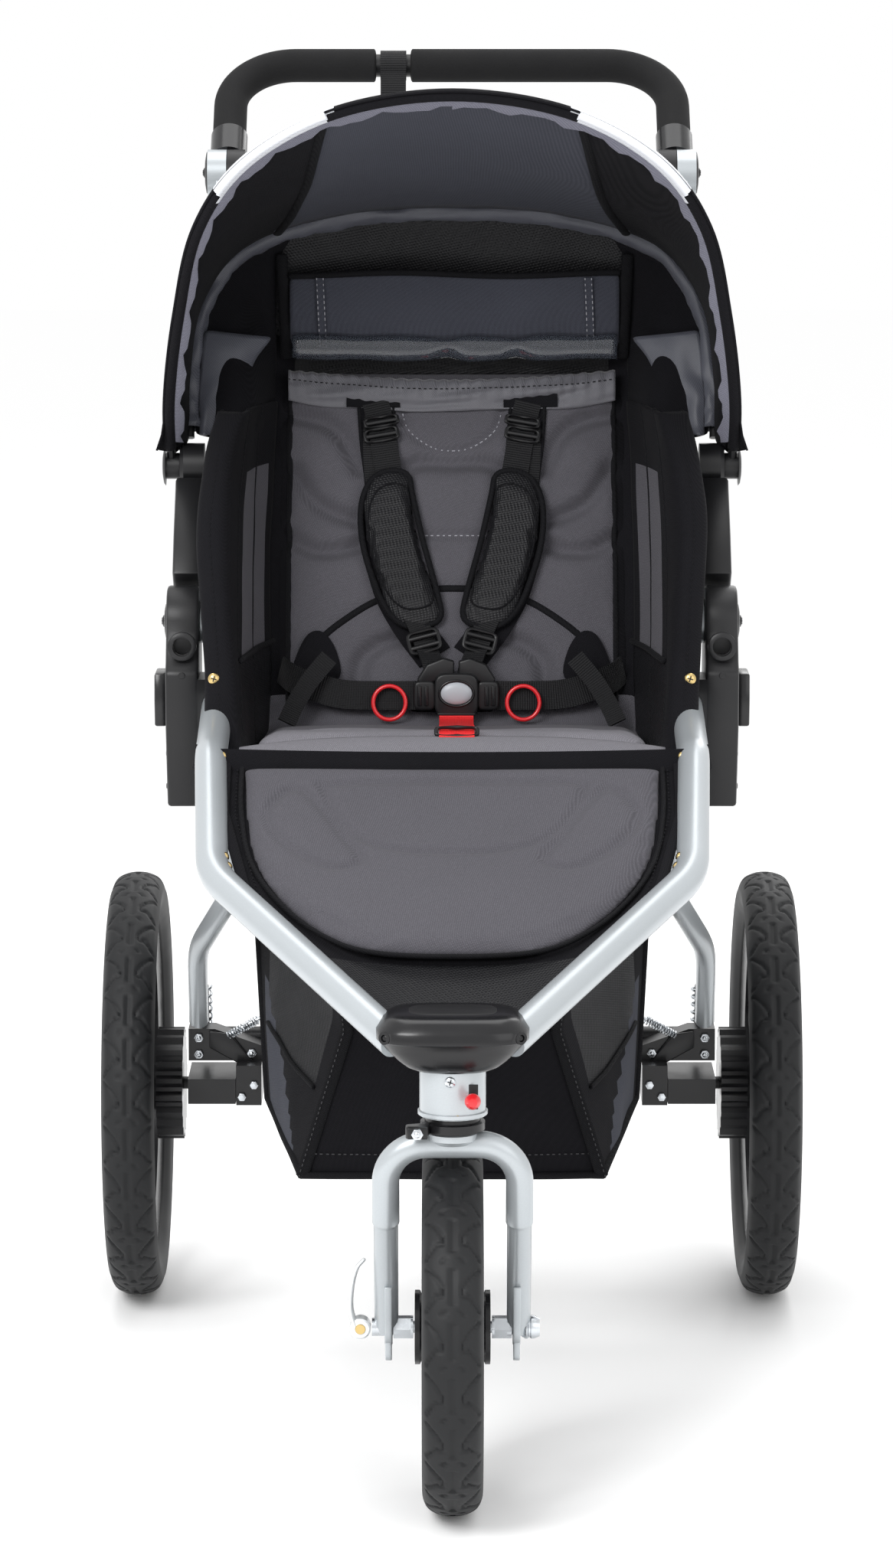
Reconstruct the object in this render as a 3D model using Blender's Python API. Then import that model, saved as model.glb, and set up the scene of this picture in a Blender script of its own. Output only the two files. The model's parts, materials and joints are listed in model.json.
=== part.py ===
"""Three-wheel jogging stroller with a swivelling front wheel, as separate parts.

Run it with: blender --background --python part.py
Metres, +Z up. The stroller faces -Y, its left side (as seen from the front) is -X, and it stands on z = 0.
Lengthwise places are given as the distance behind the front axle, and place() moves them so that the
whole object is centred on Y = 0.
"""

import math

import bmesh
import bpy
from mathutils import Matrix, Vector

# ---------------------------------------------------------------- driving dimensions
WHEEL_FACETS = 32
FLAT = math.cos(math.pi / WHEEL_FACETS)  # distance to a facet over distance to a corner
FRONT_R = 0.156
FRONT_TYRE_W = 0.050
REAR_R = 0.2035
REAR_TYRE_W = 0.048
WHEELBASE = 0.735
TRACK = 0.600
TRAIL = 0.055  # the swivel axis stands this far ahead of the front axle
GAP = 0.0003

FRONT_AXLE_Z = FRONT_R * FLAT
REAR_AXLE_Z = REAR_R * FLAT

FRAME_TUBE_R = 0.014
FRAME_X = 0.2095  # centre of the main tubes and of the upper arms
PLATE_X = (0.2265, 0.2520)  # side plates outside the tubes

FOLD_PIVOT = (0.490, 0.680)  # distance behind the front axle, height
ARM_ANGLE = math.radians(49.5)
CLIP_REACH = 0.170
BAR_PIVOT = (0.820, 1.067)
BAR_CENTRE = (0.945, 1.165)
BAR_X = 0.2125
BAR_R = 0.011
GRIP_R = 0.016
GRIP_BORE = BAR_R / math.cos(math.pi / 12) + GAP
REAR_PIVOT = (0.480, 0.535)
RECLINE_PIVOT = (0.566, 0.560)
CROSS_TUBE = (0.730, 0.249)
ARM_PIVOT = (0.675, 0.210)
SEAT_HALF = 0.178

# The middle of the whole length, from the front tyre to the back of the grip.
MIDDLE = (BAR_CENTRE[0] + GRIP_R - FRONT_R * FLAT) / 2

SIDES = (("left", -1), ("right", 1))
ACROSS = (1, 0, 0)
ALONG = (0, 1, 0)


def place(x, behind, z):
    """World point of a place given by its distance behind the front axle."""
    return Vector((x, behind - MIDDLE, z))


# ---------------------------------------------------------------- materials
def material(name, colour, roughness, metallic=0.0):
    made = bpy.data.materials.new(name)
    made.use_nodes = True
    shader = made.node_tree.nodes["Principled BSDF"]
    shader.inputs["Base Color"].default_value = (*colour, 1.0)
    shader.inputs["Roughness"].default_value = roughness
    shader.inputs["Metallic"].default_value = metallic
    return made


for old in list(bpy.data.objects):
    bpy.data.objects.remove(old)

SILVER = material("silver_paint", (0.42, 0.45, 0.47), 0.35, 0.6)
PLASTIC = material("black_plastic", (0.02, 0.02, 0.022), 0.4)
STEEL = material("black_steel", (0.015, 0.015, 0.016), 0.5, 0.3)
ZINC = material("zinc", (0.6, 0.62, 0.64), 0.25, 1.0)
RUBBER = material("tyre_rubber", (0.02, 0.021, 0.023), 0.8)
FOAM = material("grip_foam", (0.018, 0.018, 0.019), 0.95)
GREY = material("grey_fabric", (0.13, 0.13, 0.14), 0.95)
BLACK = material("black_fabric", (0.012, 0.012, 0.014), 0.95)
WEBBING = material("black_webbing", (0.01, 0.01, 0.012), 0.9)
RED = material("red_plastic", (0.6, 0.01, 0.015), 0.35)
WHITE = material("lever_white", (0.75, 0.76, 0.76), 0.3)


# ---------------------------------------------------------------- shape helpers
def solid(name, points, faces, finish, helper=False):
    """One mesh object with its faces pointing out."""
    mesh = bpy.data.meshes.new(name)
    mesh.from_pydata([tuple(p) for p in points], [], faces)
    work = bmesh.new()
    work.from_mesh(mesh)
    bmesh.ops.recalc_face_normals(work, faces=work.faces)
    work.to_mesh(mesh)
    work.free()
    mesh.shade_smooth()
    mesh.set_sharp_from_angle(angle=math.radians(35))
    mesh.materials.append(finish)
    made = bpy.data.objects.new(name, mesh)
    bpy.context.scene.collection.objects.link(made)
    if helper:
        made.hide_render = True
        made.display_type = "WIRE"
    return made


def prism(name, outline, low, high, finish, axis="x", helper=False):
    """An outline extruded along x, or along z when the outline is (x, behind) pairs."""
    points = []
    for level in (low, high):
        for u, v in outline:
            points.append(place(level, u, v) if axis == "x" else place(u, v, level))
    count = len(outline)
    faces = [tuple(range(count)), tuple(range(2 * count - 1, count - 1, -1))]
    for i in range(count):
        j = (i + 1) % count
        faces.append((i, j, count + j, count + i))
    return solid(name, points, faces, finish, helper)


def block(name, x, behind, z, finish, helper=False):
    """A box from three (low, high) pairs."""
    outline = [(behind[0], z[0]), (behind[1], z[0]), (behind[1], z[1]), (behind[0], z[1])]
    return prism(name, outline, x[0], x[1], finish, "x", helper)


def turned(name, profile, centre, axis, segments, finish, half_step=False, helper=False):
    """A profile of (radius, distance along the axis) turned round an axis through centre.

    A profile that starts and ends at radius 0 closes on the axis, and any other closes on itself.
    """
    along = Vector(axis).normalized()
    side = along.cross(Vector((0, 0, 1)) if abs(along.z) < 0.9 else Vector((0, 1, 0))).normalized()
    up = side.cross(along)
    origin = place(*centre)
    points, rings = [], []
    for radius, distance in profile:
        middle = origin + along * distance
        if radius == 0:
            rings.append([len(points)])
            points.append(middle)
            continue
        rings.append(list(range(len(points), len(points) + segments)))
        for k in range(segments):
            turn = 2 * math.pi * (k + (0.5 if half_step else 0.0)) / segments
            points.append(middle + (side * math.cos(turn) + up * math.sin(turn)) * radius)
    pairs = list(zip(rings, rings[1:]))
    if profile[0][0] != 0:
        pairs.append((rings[-1], rings[0]))
    faces = []
    for first, second in pairs:
        for k in range(segments):
            n = (k + 1) % segments
            if len(first) == 1:
                faces.append((first[0], second[k], second[n]))
            elif len(second) == 1:
                faces.append((first[k], second[0], first[n]))
            else:
                faces.append((first[k], second[k], second[n], first[n]))
    return solid(name, points, faces, finish, helper)


def rod(name, start, length, radius, axis, finish, segments=16, helper=False):
    profile = [(0, 0), (radius, 0), (radius, length), (0, length)]
    return turned(name, profile, start, axis, segments, finish, helper=helper)


def ring(name, centre, radii, length, axis, finish, segments=16, helper=False):
    inner, outer = radii
    profile = [(inner, 0), (outer, 0), (outer, length), (inner, length)]
    return turned(name, profile, centre, axis, segments, finish, helper=helper)


def rounded(corners, radius, steps=5):
    """World points of a path through corners, each bend an arc of the given radius."""
    route = [place(*c) for c in corners]
    made = [route[0]]
    for before, corner, after in zip(route, route[1:], route[2:]):
        back = (before - corner).normalized()
        on = (after - corner).normalized()
        half = back.angle(on) / 2
        reach = min(
            radius / math.tan(half), 0.49 * (before - corner).length, 0.49 * (after - corner).length
        )
        true_radius = reach * math.tan(half)
        hub = corner + (back + on).normalized() * (true_radius / math.sin(half))
        first = corner + back * reach - hub
        last = corner + on * reach - hub
        for k in range(steps + 1):
            made.append(hub + first.slerp(last, k / steps).normalized() * true_radius)
    made.append(route[-1])
    return made


def smooth_path(points, per_span=5):
    """A Catmull-Rom curve through hand-chosen points."""
    ends = [2 * points[0] - points[1], *points, 2 * points[-1] - points[-2]]
    made = []
    for i in range(1, len(ends) - 2):
        p0, p1, p2, p3 = ends[i - 1 : i + 3]
        for k in range(per_span):
            t = k / per_span
            bend = (2 * p0 - 5 * p1 + 4 * p2 - p3) * t**2 + (3 * p1 - p0 - 3 * p2 + p3) * t**3
            made.append(0.5 * (2 * p1 + (p2 - p0) * t + bend))
    made.append(points[-1])
    return made


def frames(route, start_side):
    """A steady pair of cross directions at each point of a route."""
    made = []
    side = start_side
    for i, point in enumerate(route):
        ahead = route[min(i + 1, len(route) - 1)] - route[max(i - 1, 0)]
        ahead.normalize()
        side = (side - ahead * side.dot(ahead)).normalized()
        made.append((point, side, ahead.cross(side)))
    return made


def tube(name, route, radii, finish, sides=12, bore=0.0, first_side=(1, 0, 0), helper=False):
    """A tube of round or oval section along world points, solid or with a bore."""
    wide, thick = radii if isinstance(radii, tuple) else (radii, radii)
    points, faces = [], []
    shells = [(wide, thick)] + ([(bore, bore)] if bore else [])
    stations = frames(route, Vector(first_side))
    for half_wide, half_thick in shells:
        for point, side, other in stations:
            for k in range(sides):
                turn = 2 * math.pi * (k + 0.5) / sides
                points.append(
                    point + side * half_wide * math.cos(turn) + other * half_thick * math.sin(turn)
                )
    count = len(route)
    for shell in range(len(shells)):
        base = shell * count * sides
        for i in range(count - 1):
            for k in range(sides):
                n = (k + 1) % sides
                a = base + i * sides
                faces.append((a + k, a + n, a + sides + n, a + sides + k))
    if bore:
        inner = count * sides
        for station in (0, count - 1):
            for k in range(sides):
                n = (k + 1) % sides
                a = station * sides
                faces.append((a + k, a + n, inner + a + n, inner + a + k))
    else:
        faces.append(tuple(range(sides)))
        faces.append(tuple(range((count - 1) * sides, count * sides)))
    return solid(name, points, faces, finish, helper)


def loft(name, outlines, finish):
    """Closed outlines of equal length joined into a solid."""
    count = len(outlines[0])
    points = [p for outline in outlines for p in outline]
    faces = [tuple(range(count)), tuple(range(len(points) - count, len(points)))]
    for level in range(len(outlines) - 1):
        for k in range(count):
            n = (k + 1) % count
            a = level * count
            faces.append((a + k, a + n, a + count + n, a + count + k))
    return solid(name, points, faces, finish)


def combine(base, others, operation):
    for index, other in enumerate(others):
        step = base.modifiers.new(f"{operation.lower()}_{index}", "BOOLEAN")
        step.operation = operation
        step.object = other
        step.solver = "EXACT"


def bevelled(made, width, segments=2):
    step = made.modifiers.new("bevel", "BEVEL")
    step.width = width
    step.segments = segments
    step.limit_method = "ANGLE"
    step.angle_limit = math.radians(35)
    return made


def arc(centre, radius, start, end, steps):
    """Points (behind, z) on an arc, angles in degrees from straight back towards up."""
    made = []
    for k in range(steps + 1):
        turn = math.radians(start + (end - start) * k / steps)
        made.append((centre[0] + radius * math.cos(turn), centre[1] + radius * math.sin(turn)))
    return made


# ---------------------------------------------------------------- main frame
TUBE_ROUTE = [
    (0.046, -0.066, 0.409),
    (0.2025, 0.150, 0.508),
    (FRAME_X, 0.300, 0.585),
    (FRAME_X, 0.452, 0.612),
]
HOUSING_SQUARENESS = 0.55  # 1 is an ellipse, and less is squarer
HOUSING_LEVELS = [  # height, half width, front and rear edge behind the axle
    (0.3860, 0.034, -0.084, -0.028),
    (0.3960, 0.047, -0.092, -0.020),
    (0.4120, 0.060, -0.099, -0.012),
    (0.4220, 0.062, -0.101, -0.010),
    (0.4300, 0.057, -0.097, -0.014),
    (0.4335, 0.046, -0.089, -0.022),
]


def main_frame():
    cutters = []
    for name, side in SIDES:
        corners = [(side * x, b, z) for x, b, z in TUBE_ROUTE]
        route = rounded(corners, 0.085)
        tube(f"main_tube_{name}", route, FRAME_TUBE_R, SILVER, 14)
        wider = FRAME_TUBE_R + 2 * GAP
        longer = [route[0] - (route[1] - route[0]).normalized() * GAP * 2, *route]
        cutters.append(tube(f"housing_socket_{name}", longer, wider, SILVER, 14, helper=True))

    outlines = []
    for z, half, front, rear in HOUSING_LEVELS:
        middle, depth = (front + rear) / 2, (rear - front) / 2
        outline = []
        for k in range(28):
            turn = 2 * math.pi * k / 28
            c, s = math.cos(turn), math.sin(turn)
            x = half * math.copysign(abs(c) ** HOUSING_SQUARENESS, c)
            outline.append(place(x, middle + depth * math.copysign(abs(s) ** HOUSING_SQUARENESS, s), z))
        outlines.append(outline)
    combine(loft("front_housing", outlines, PLASTIC), cutters, "DIFFERENCE")

    head = (0, -TRAIL, 0.3470)
    ring("head_tube", head, (0.0140, 0.0270), 0.0387, (0, 0, 1), SILVER, 28)

    pivot = (-PLATE_X[0] + GAP, *REAR_PIVOT)
    rod("frame_pivot_tube", pivot, 2 * (PLATE_X[0] - GAP), 0.009, ACROSS, SILVER, 18)


def side_moulding(name, side):
    """Black plate that joins a main tube, the rear leg's pivot and the upper arm's pivot."""
    low, high = sorted((side * PLATE_X[0], side * 0.2560))
    outline = [(0.462, 0.515), (0.500, 0.515), (0.516, 0.545), (0.521, 0.640)]
    outline += arc(FOLD_PIVOT, 0.032, -20, 190, 12)
    outline += [(0.446, 0.650), (0.436, 0.640), (0.436, 0.590), (0.446, 0.560)]
    plate = bevelled(prism(f"side_moulding_{name}", outline, low, high, PLASTIC), 0.003)
    low, high = sorted((side * 0.2000, side * (PLATE_X[0] + 0.002)))
    boss = block(f"tube_boss_{name}", (low, high), (0.437, 0.488), (0.5915, 0.6340), PLASTIC, helper=True)
    combine(plate, [boss], "UNION")
    corners = [(side * x, b, z) for x, b, z in TUBE_ROUTE]
    route = rounded(corners, 0.085)
    ahead = (route[-1] - route[-2]).normalized()
    socket = [route[-1] - ahead * 0.05, route[-1] + ahead * 2 * GAP]
    tube_cut = tube(f"tube_socket_{name}", socket, FRAME_TUBE_R + 2 * GAP, PLASTIC, 14, helper=True)
    hole = rod(
        f"accessory_hole_{name}", (side * 0.241, 0.430, 0.663), 0.028, 0.0085, ALONG, PLASTIC, 20, helper=True
    )
    combine(plate, [tube_cut, hole], "DIFFERENCE")

    low, high = sorted((side * (0.2560 + GAP), side * 0.2670))
    latch = [(0.462, 0.588), (0.500, 0.588), (0.504, 0.598), (0.500, 0.636), (0.462, 0.636), (0.458, 0.612)]
    bevelled(prism(f"fold_latch_{name}", latch, low, high, PLASTIC), 0.002)


# ---------------------------------------------------------------- seat on the main frame
def slope_z(behind):
    """Height of the plane between the main tubes, ahead of the seat."""
    return 0.583 - 0.507 * (0.296 - behind)


def seat():
    half_widths = [(0.296, 0.1900), (0.150, 0.1820), (0.100, 0.1450), (0.000, 0.0680)]
    thick = 0.010
    outlines = []
    for behind, half in half_widths:
        top = slope_z(behind)
        outlines.append(
            [
                place(-half, behind, top),
                place(half, behind, top),
                place(half, behind, top - thick),
                place(-half, behind, top - thick),
            ]
        )
    loft("footrest_panel", outlines, GREY)

    base = [(0.335, 0.573), (0.543, 0.550), (0.543, 0.578), (0.430, 0.595), (0.350, 0.604), (0.335, 0.598)]
    bevelled(prism("seat_base", base, -0.183, 0.183, GREY), 0.006)

    wing = [
        (0.335, 0.576),
        (0.550, 0.556),
        (0.600, 0.640),
        (0.668, 0.840),
        (0.610, 0.862),
        (0.480, 0.800),
        (0.335, 0.640),
    ]
    for name, side in SIDES:
        low, high = sorted((side * 0.1845, side * 0.1945))
        prism(f"side_wing_{name}", wing, low, high, BLACK)
        strap = [(0.5400, 0.589), (0.5465, 0.589), (0.5480, 0.616), (0.5410, 0.616)]
        low, high = sorted((side * 0.0285, side * 0.1700))
        prism(f"waist_strap_{name}", strap, low, high, WEBBING)

    crotch = [(0.4600, 0.5935), (0.5270, 0.5840), (0.5300, 0.5880), (0.4610, 0.5975)]
    prism("crotch_strap", crotch, -0.019, 0.019, RED)

    buckle = [(0.5290, 0.590), (0.5490, 0.588), (0.5500, 0.625), (0.5310, 0.627)]
    body = bevelled(prism("buckle", buckle, -0.0280, 0.0280, PLASTIC), 0.002)
    front = (0, 0.5255, 0.6085)
    pocket = rod("button_pocket", front, 0.0135, 0.0117, ALONG, PLASTIC, 24, helper=True)
    combine(body, [pocket], "DIFFERENCE")
    dome = [(0, 0), (0.0080, 0.0006), (0.0110, 0.0025), (0.0110, 0.0085), (0, 0.0085)]
    turned("buckle_button", dome, (0, 0.5268, 0.6085), ALONG, 24, ZINC)


def seat_back():
    face = [(0.548, 0.580), (0.700, 0.895)]
    back = [(0.727, 0.882), (0.575, 0.567)]
    bevelled(prism("seat_back", face + back, -SEAT_HALF, SEAT_HALF, GREY), 0.006)
    run = Vector((face[1][0] - face[0][0], face[1][1] - face[0][1])).normalized()
    out = Vector((-run.y, run.x))
    for name, side in SIDES:
        points, proud = [], 0.0135
        for lift in (0.001, proud):
            for x, along in ((0.010, 0.095), (0.050, 0.088), (0.088, 0.222), (0.046, 0.232)):
                spot = Vector(face[0]) + run * along + out * lift
                points.append(place(side * x, spot.x, spot.y))
        faces = [(0, 1, 2, 3), (4, 5, 6, 7), (0, 1, 5, 4), (1, 2, 6, 5), (2, 3, 7, 6), (3, 0, 4, 7)]
        bevelled(solid(f"shoulder_pad_{name}", points, faces, BLACK), 0.003)


def basket():
    """Open bag under the seat, widening to the rear: an outer and an inner shell joined round the rim."""
    wall = 0.003

    def half_shell(inset):
        """Points of the left half: front low, rear low, rear top, side front top, front top."""
        return [
            (-0.139 + inset, 0.450 + inset, 0.178 + inset),
            (-0.1744 + inset, 0.620 - inset, 0.2126 + inset),
            (-0.1870 + inset, 0.690 - inset, 0.4000),
            (-0.1010 + inset, 0.405 + inset, 0.3520),
            (-0.0970 + inset, 0.420 + inset, 0.3190),
        ]

    points = []
    for inset in (0, wall):
        points += [place(x, behind, z) for x, behind, z in half_shell(inset)]
        points += [place(-x, behind, z) for x, behind, z in half_shell(inset)]
    faces = []
    for base in (0, 10):
        low = [base, base + 5, base + 6, base + 1]
        front = [base, base + 4, base + 9, base + 5]
        rear = [base + 1, base + 6, base + 7, base + 2]
        faces += [low, front, rear]
        for side in (base, base + 5):
            faces += [(side, side + 1, side + 2), (side, side + 2, side + 3), (side, side + 3, side + 4)]
    rim = [2, 3, 4, 9, 8, 7]
    for k in range(6):
        a, b = rim[k], rim[(k + 1) % 6]
        faces.append((a, b, b + 10, a + 10))
    solid("basket", points, faces, BLACK)


# ---------------------------------------------------------------- wheels
def tyre(name, centre, radius, width, depth):
    """A round tyre with a low tread crown, open where it sits on the rim."""
    half = width / 2
    profile = [
        (radius - depth, -half * 0.62),
        (radius - depth * 0.62, -half * 0.98),
        (radius - depth * 0.34, -half),
        (radius - depth * 0.12, -half * 0.80),
        (radius - depth * 0.02, -half * 0.42),
        (radius, -half * 0.16),
        (radius, half * 0.16),
        (radius - depth * 0.02, half * 0.42),
        (radius - depth * 0.12, half * 0.80),
        (radius - depth * 0.34, half),
        (radius - depth * 0.62, half * 0.98),
        (radius - depth, half * 0.62),
    ]
    return turned(name, profile, centre, (1, 0, 0), WHEEL_FACETS, RUBBER, half_step=True)


def wheel(name, centre, rim_r, half, hub_r, hub_span, bore):
    """Moulded wheel: rim, five spokes and hub in one piece."""
    rim = [
        (rim_r - 0.016, -half * 0.75),
        (rim_r - 0.002, -half),
        (rim_r, -half),
        (rim_r - 0.004, 0),
        (rim_r, half),
        (rim_r - 0.002, half),
        (rim_r - 0.016, half * 0.75),
    ]
    made = turned(name, rim, centre, (1, 0, 0), WHEEL_FACETS, PLASTIC, half_step=True)
    x, behind, z = centre
    low, high = hub_span
    barrel = [(0, low), (hub_r, low), (hub_r, low + 0.004), (hub_r * 0.6, low + 0.010)]
    barrel += [(hub_r * 0.6, high - 0.010), (hub_r, high - 0.004), (hub_r, high), (0, high)]
    parts = [turned(f"{name}_barrel", barrel, centre, (1, 0, 0), 16, PLASTIC, helper=True)]
    for k in range(5):
        turn = math.radians(90 + 72 * k)
        out = Vector((0, math.cos(turn), math.sin(turn)))
        over = Vector((0, -math.sin(turn), math.cos(turn)))
        middle = place(*centre)
        points = []
        for reach, wide, thick in ((hub_r * 0.30, 0.0090, 0.0105), (rim_r - 0.0100, 0.0085, 0.0080)):
            for sx, sw in ((-1, -1), (1, -1), (1, 1), (-1, 1)):
                points.append(middle + out * reach + over * wide * sw + Vector((thick * sx, 0, 0)))
        faces = [(0, 1, 2, 3), (4, 5, 6, 7), (0, 1, 5, 4), (1, 2, 6, 5), (2, 3, 7, 6), (3, 0, 4, 7)]
        parts.append(solid(f"{name}_spoke_{k}", points, faces, PLASTIC, helper=True))
    combine(made, parts, "UNION")
    hole = rod(
        f"{name}_bore", (x + low - 0.01, behind, z), high - low + 0.02, bore, ACROSS, PLASTIC, 20, helper=True
    )
    combine(made, [hole], "DIFFERENCE")


def front_wheel():
    centre = (0, 0, FRONT_AXLE_Z)
    tyre("front_tyre", centre, FRONT_R, FRONT_TYRE_W, 0.044)
    wheel("front_wheel_rim", centre, FRONT_R - 0.044 - GAP, 0.0150, 0.0310, (-0.031, 0.031), 0.0055)


def rear_wheels():
    for name, side in SIDES:
        centre = (side * TRACK / 2, WHEELBASE, REAR_AXLE_Z)
        tyre(f"rear_tyre_{name}", centre, REAR_R, REAR_TYRE_W, 0.040)
        wheel(
            f"rear_wheel_rim_{name}", centre, REAR_R - 0.040 - GAP, 0.0150, 0.0260, (-0.0185, 0.0185), 0.0066
        )
        teeth, outline = 20, []
        for k in range(teeth * 4):
            turn = 2 * math.pi * (k + 0.5) / (teeth * 4)
            radius = 0.0535 if k % 4 < 2 else 0.0485
            outline.append((WHEELBASE + radius * math.cos(turn), REAR_AXLE_Z + radius * math.sin(turn)))
        low, high = sorted((side * 0.2560, side * (0.2815 - GAP)))
        toothed = prism(f"brake_ring_{name}", outline, low, high, PLASTIC)
        bore = rod(
            f"brake_bore_{name}", (low - 0.01, *centre[1:]), 0.05, 0.0066, ACROSS, PLASTIC, 20, helper=True
        )
        combine(toothed, [bore], "DIFFERENCE")


# ---------------------------------------------------------------- fork
FORK_X = 0.0545
FORK_CROWN_Z = 0.322


def fork():
    low_z = FRONT_AXLE_Z - 0.012
    corners = [
        (-FORK_X, 0.001, low_z),
        (-FORK_X, -0.040, 0.255),
        (-FORK_X, -TRAIL, FORK_CROWN_Z),
        (FORK_X, -TRAIL, FORK_CROWN_Z),
        (FORK_X, -0.040, 0.255),
        (FORK_X, 0.001, low_z),
    ]
    made = tube("fork", rounded(corners, 0.046, 6), (0.0110, 0.0110), SILVER, 14, first_side=(0, 1, 0))
    parts = [
        rod(
            "steerer", (0, -TRAIL, FORK_CROWN_Z - 0.002), 0.0620, 0.0132, (0, 0, 1), SILVER, 24, helper=True
        )
    ]
    for name, side in SIDES:
        low, high = sorted((side * 0.0495, side * 0.0560))
        plate = arc((0.0, FRONT_AXLE_Z), 0.0150, -180, 0, 8) + [(0.0150, 0.185), (-0.0230, 0.185)]
        parts.append(prism(f"dropout_{name}", plate, low, high, SILVER, helper=True))
    combine(made, parts, "UNION")
    cutters = [
        rod("fork_axle_hole", (-0.08, 0, FRONT_AXLE_Z), 0.16, 0.0053, ACROSS, SILVER, 20, helper=True)
    ]
    for name, side in SIDES:
        for face, reach in (("outer", (0.0563, 0.0700)), ("inner", (0.0380, 0.0492))):
            low, high = sorted((side * reach[0], side * reach[1]))
            cutters.append(
                block(f"flat_{face}_{name}", (low, high), (-0.03, 0.03), (0.12, 0.174), SILVER, helper=True)
            )
    combine(made, cutters, "DIFFERENCE")

    ring("swivel_bearing", (0, -TRAIL, 0.3338), (0.0140, 0.0225), 0.0127, (0, 0, 1), STEEL, 28)

    axle = [
        (0, -0.0665), (0.0075, -0.0665), (0.0075, -0.0568), (0.0050, -0.0568), (0.0050, 0.0700), (0, 0.0700)
    ]
    spindle = turned("front_axle", axle, (0, 0, FRONT_AXLE_Z), (1, 0, 0), 20, ZINC)
    nuts = []
    for name, side in SIDES:
        start = 0.0325 if side > 0 else -0.0487
        nuts.append(
            rod(
                f"lock_nut_{name}", (start, 0, FRONT_AXLE_Z), 0.0162, 0.0098, ACROSS, ZINC, 6, helper=True
            )
        )
    combine(spindle, nuts, "UNION")
    end = [(0.0053, 0), (0.0085, 0), (0.0095, 0.0040), (0.0095, 0.0110), (0.0080, 0.0150), (0.0053, 0.0150)]
    turned("axle_end_nut", end, (0.0568, 0, FRONT_AXLE_Z), (1, 0, 0), 20, ZINC)


QR_PIVOT = (-0.0760, 0.0, FRONT_AXLE_Z)


def quick_release():
    x, behind, z = QR_PIVOT
    made = rod("quick_release_lever", (x, behind - 0.008, z), 0.016, 0.0085, ALONG, WHITE, 20)
    route = smooth_path(
        [place(x, behind, z), place(x - 0.0060, behind, z + 0.018), place(x - 0.0045, behind, z + 0.038),
         place(x + 0.0010, behind, z + 0.056)],
        4,
    )
    handle = tube("lever_handle", route, (0.0028, 0.0065), WHITE, 10, helper=True)
    combine(made, [handle], "UNION")


def swivel_lock():
    knob = [(0, -0.0235), (0.0035, -0.0228), (0.0062, -0.0190), (0.0066, -0.0160), (0.0050, -0.0120)]
    knob += [(0.0030, -0.0105), (0.0030, -0.0006), (0, -0.0006)]
    x = 0.016
    face = -TRAIL - math.sqrt(0.0270**2 - x**2) - 0.0012
    turned("swivel_lock_knob", knob, (x, face, 0.3660), (0, 1, 0), 20, RED)


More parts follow.
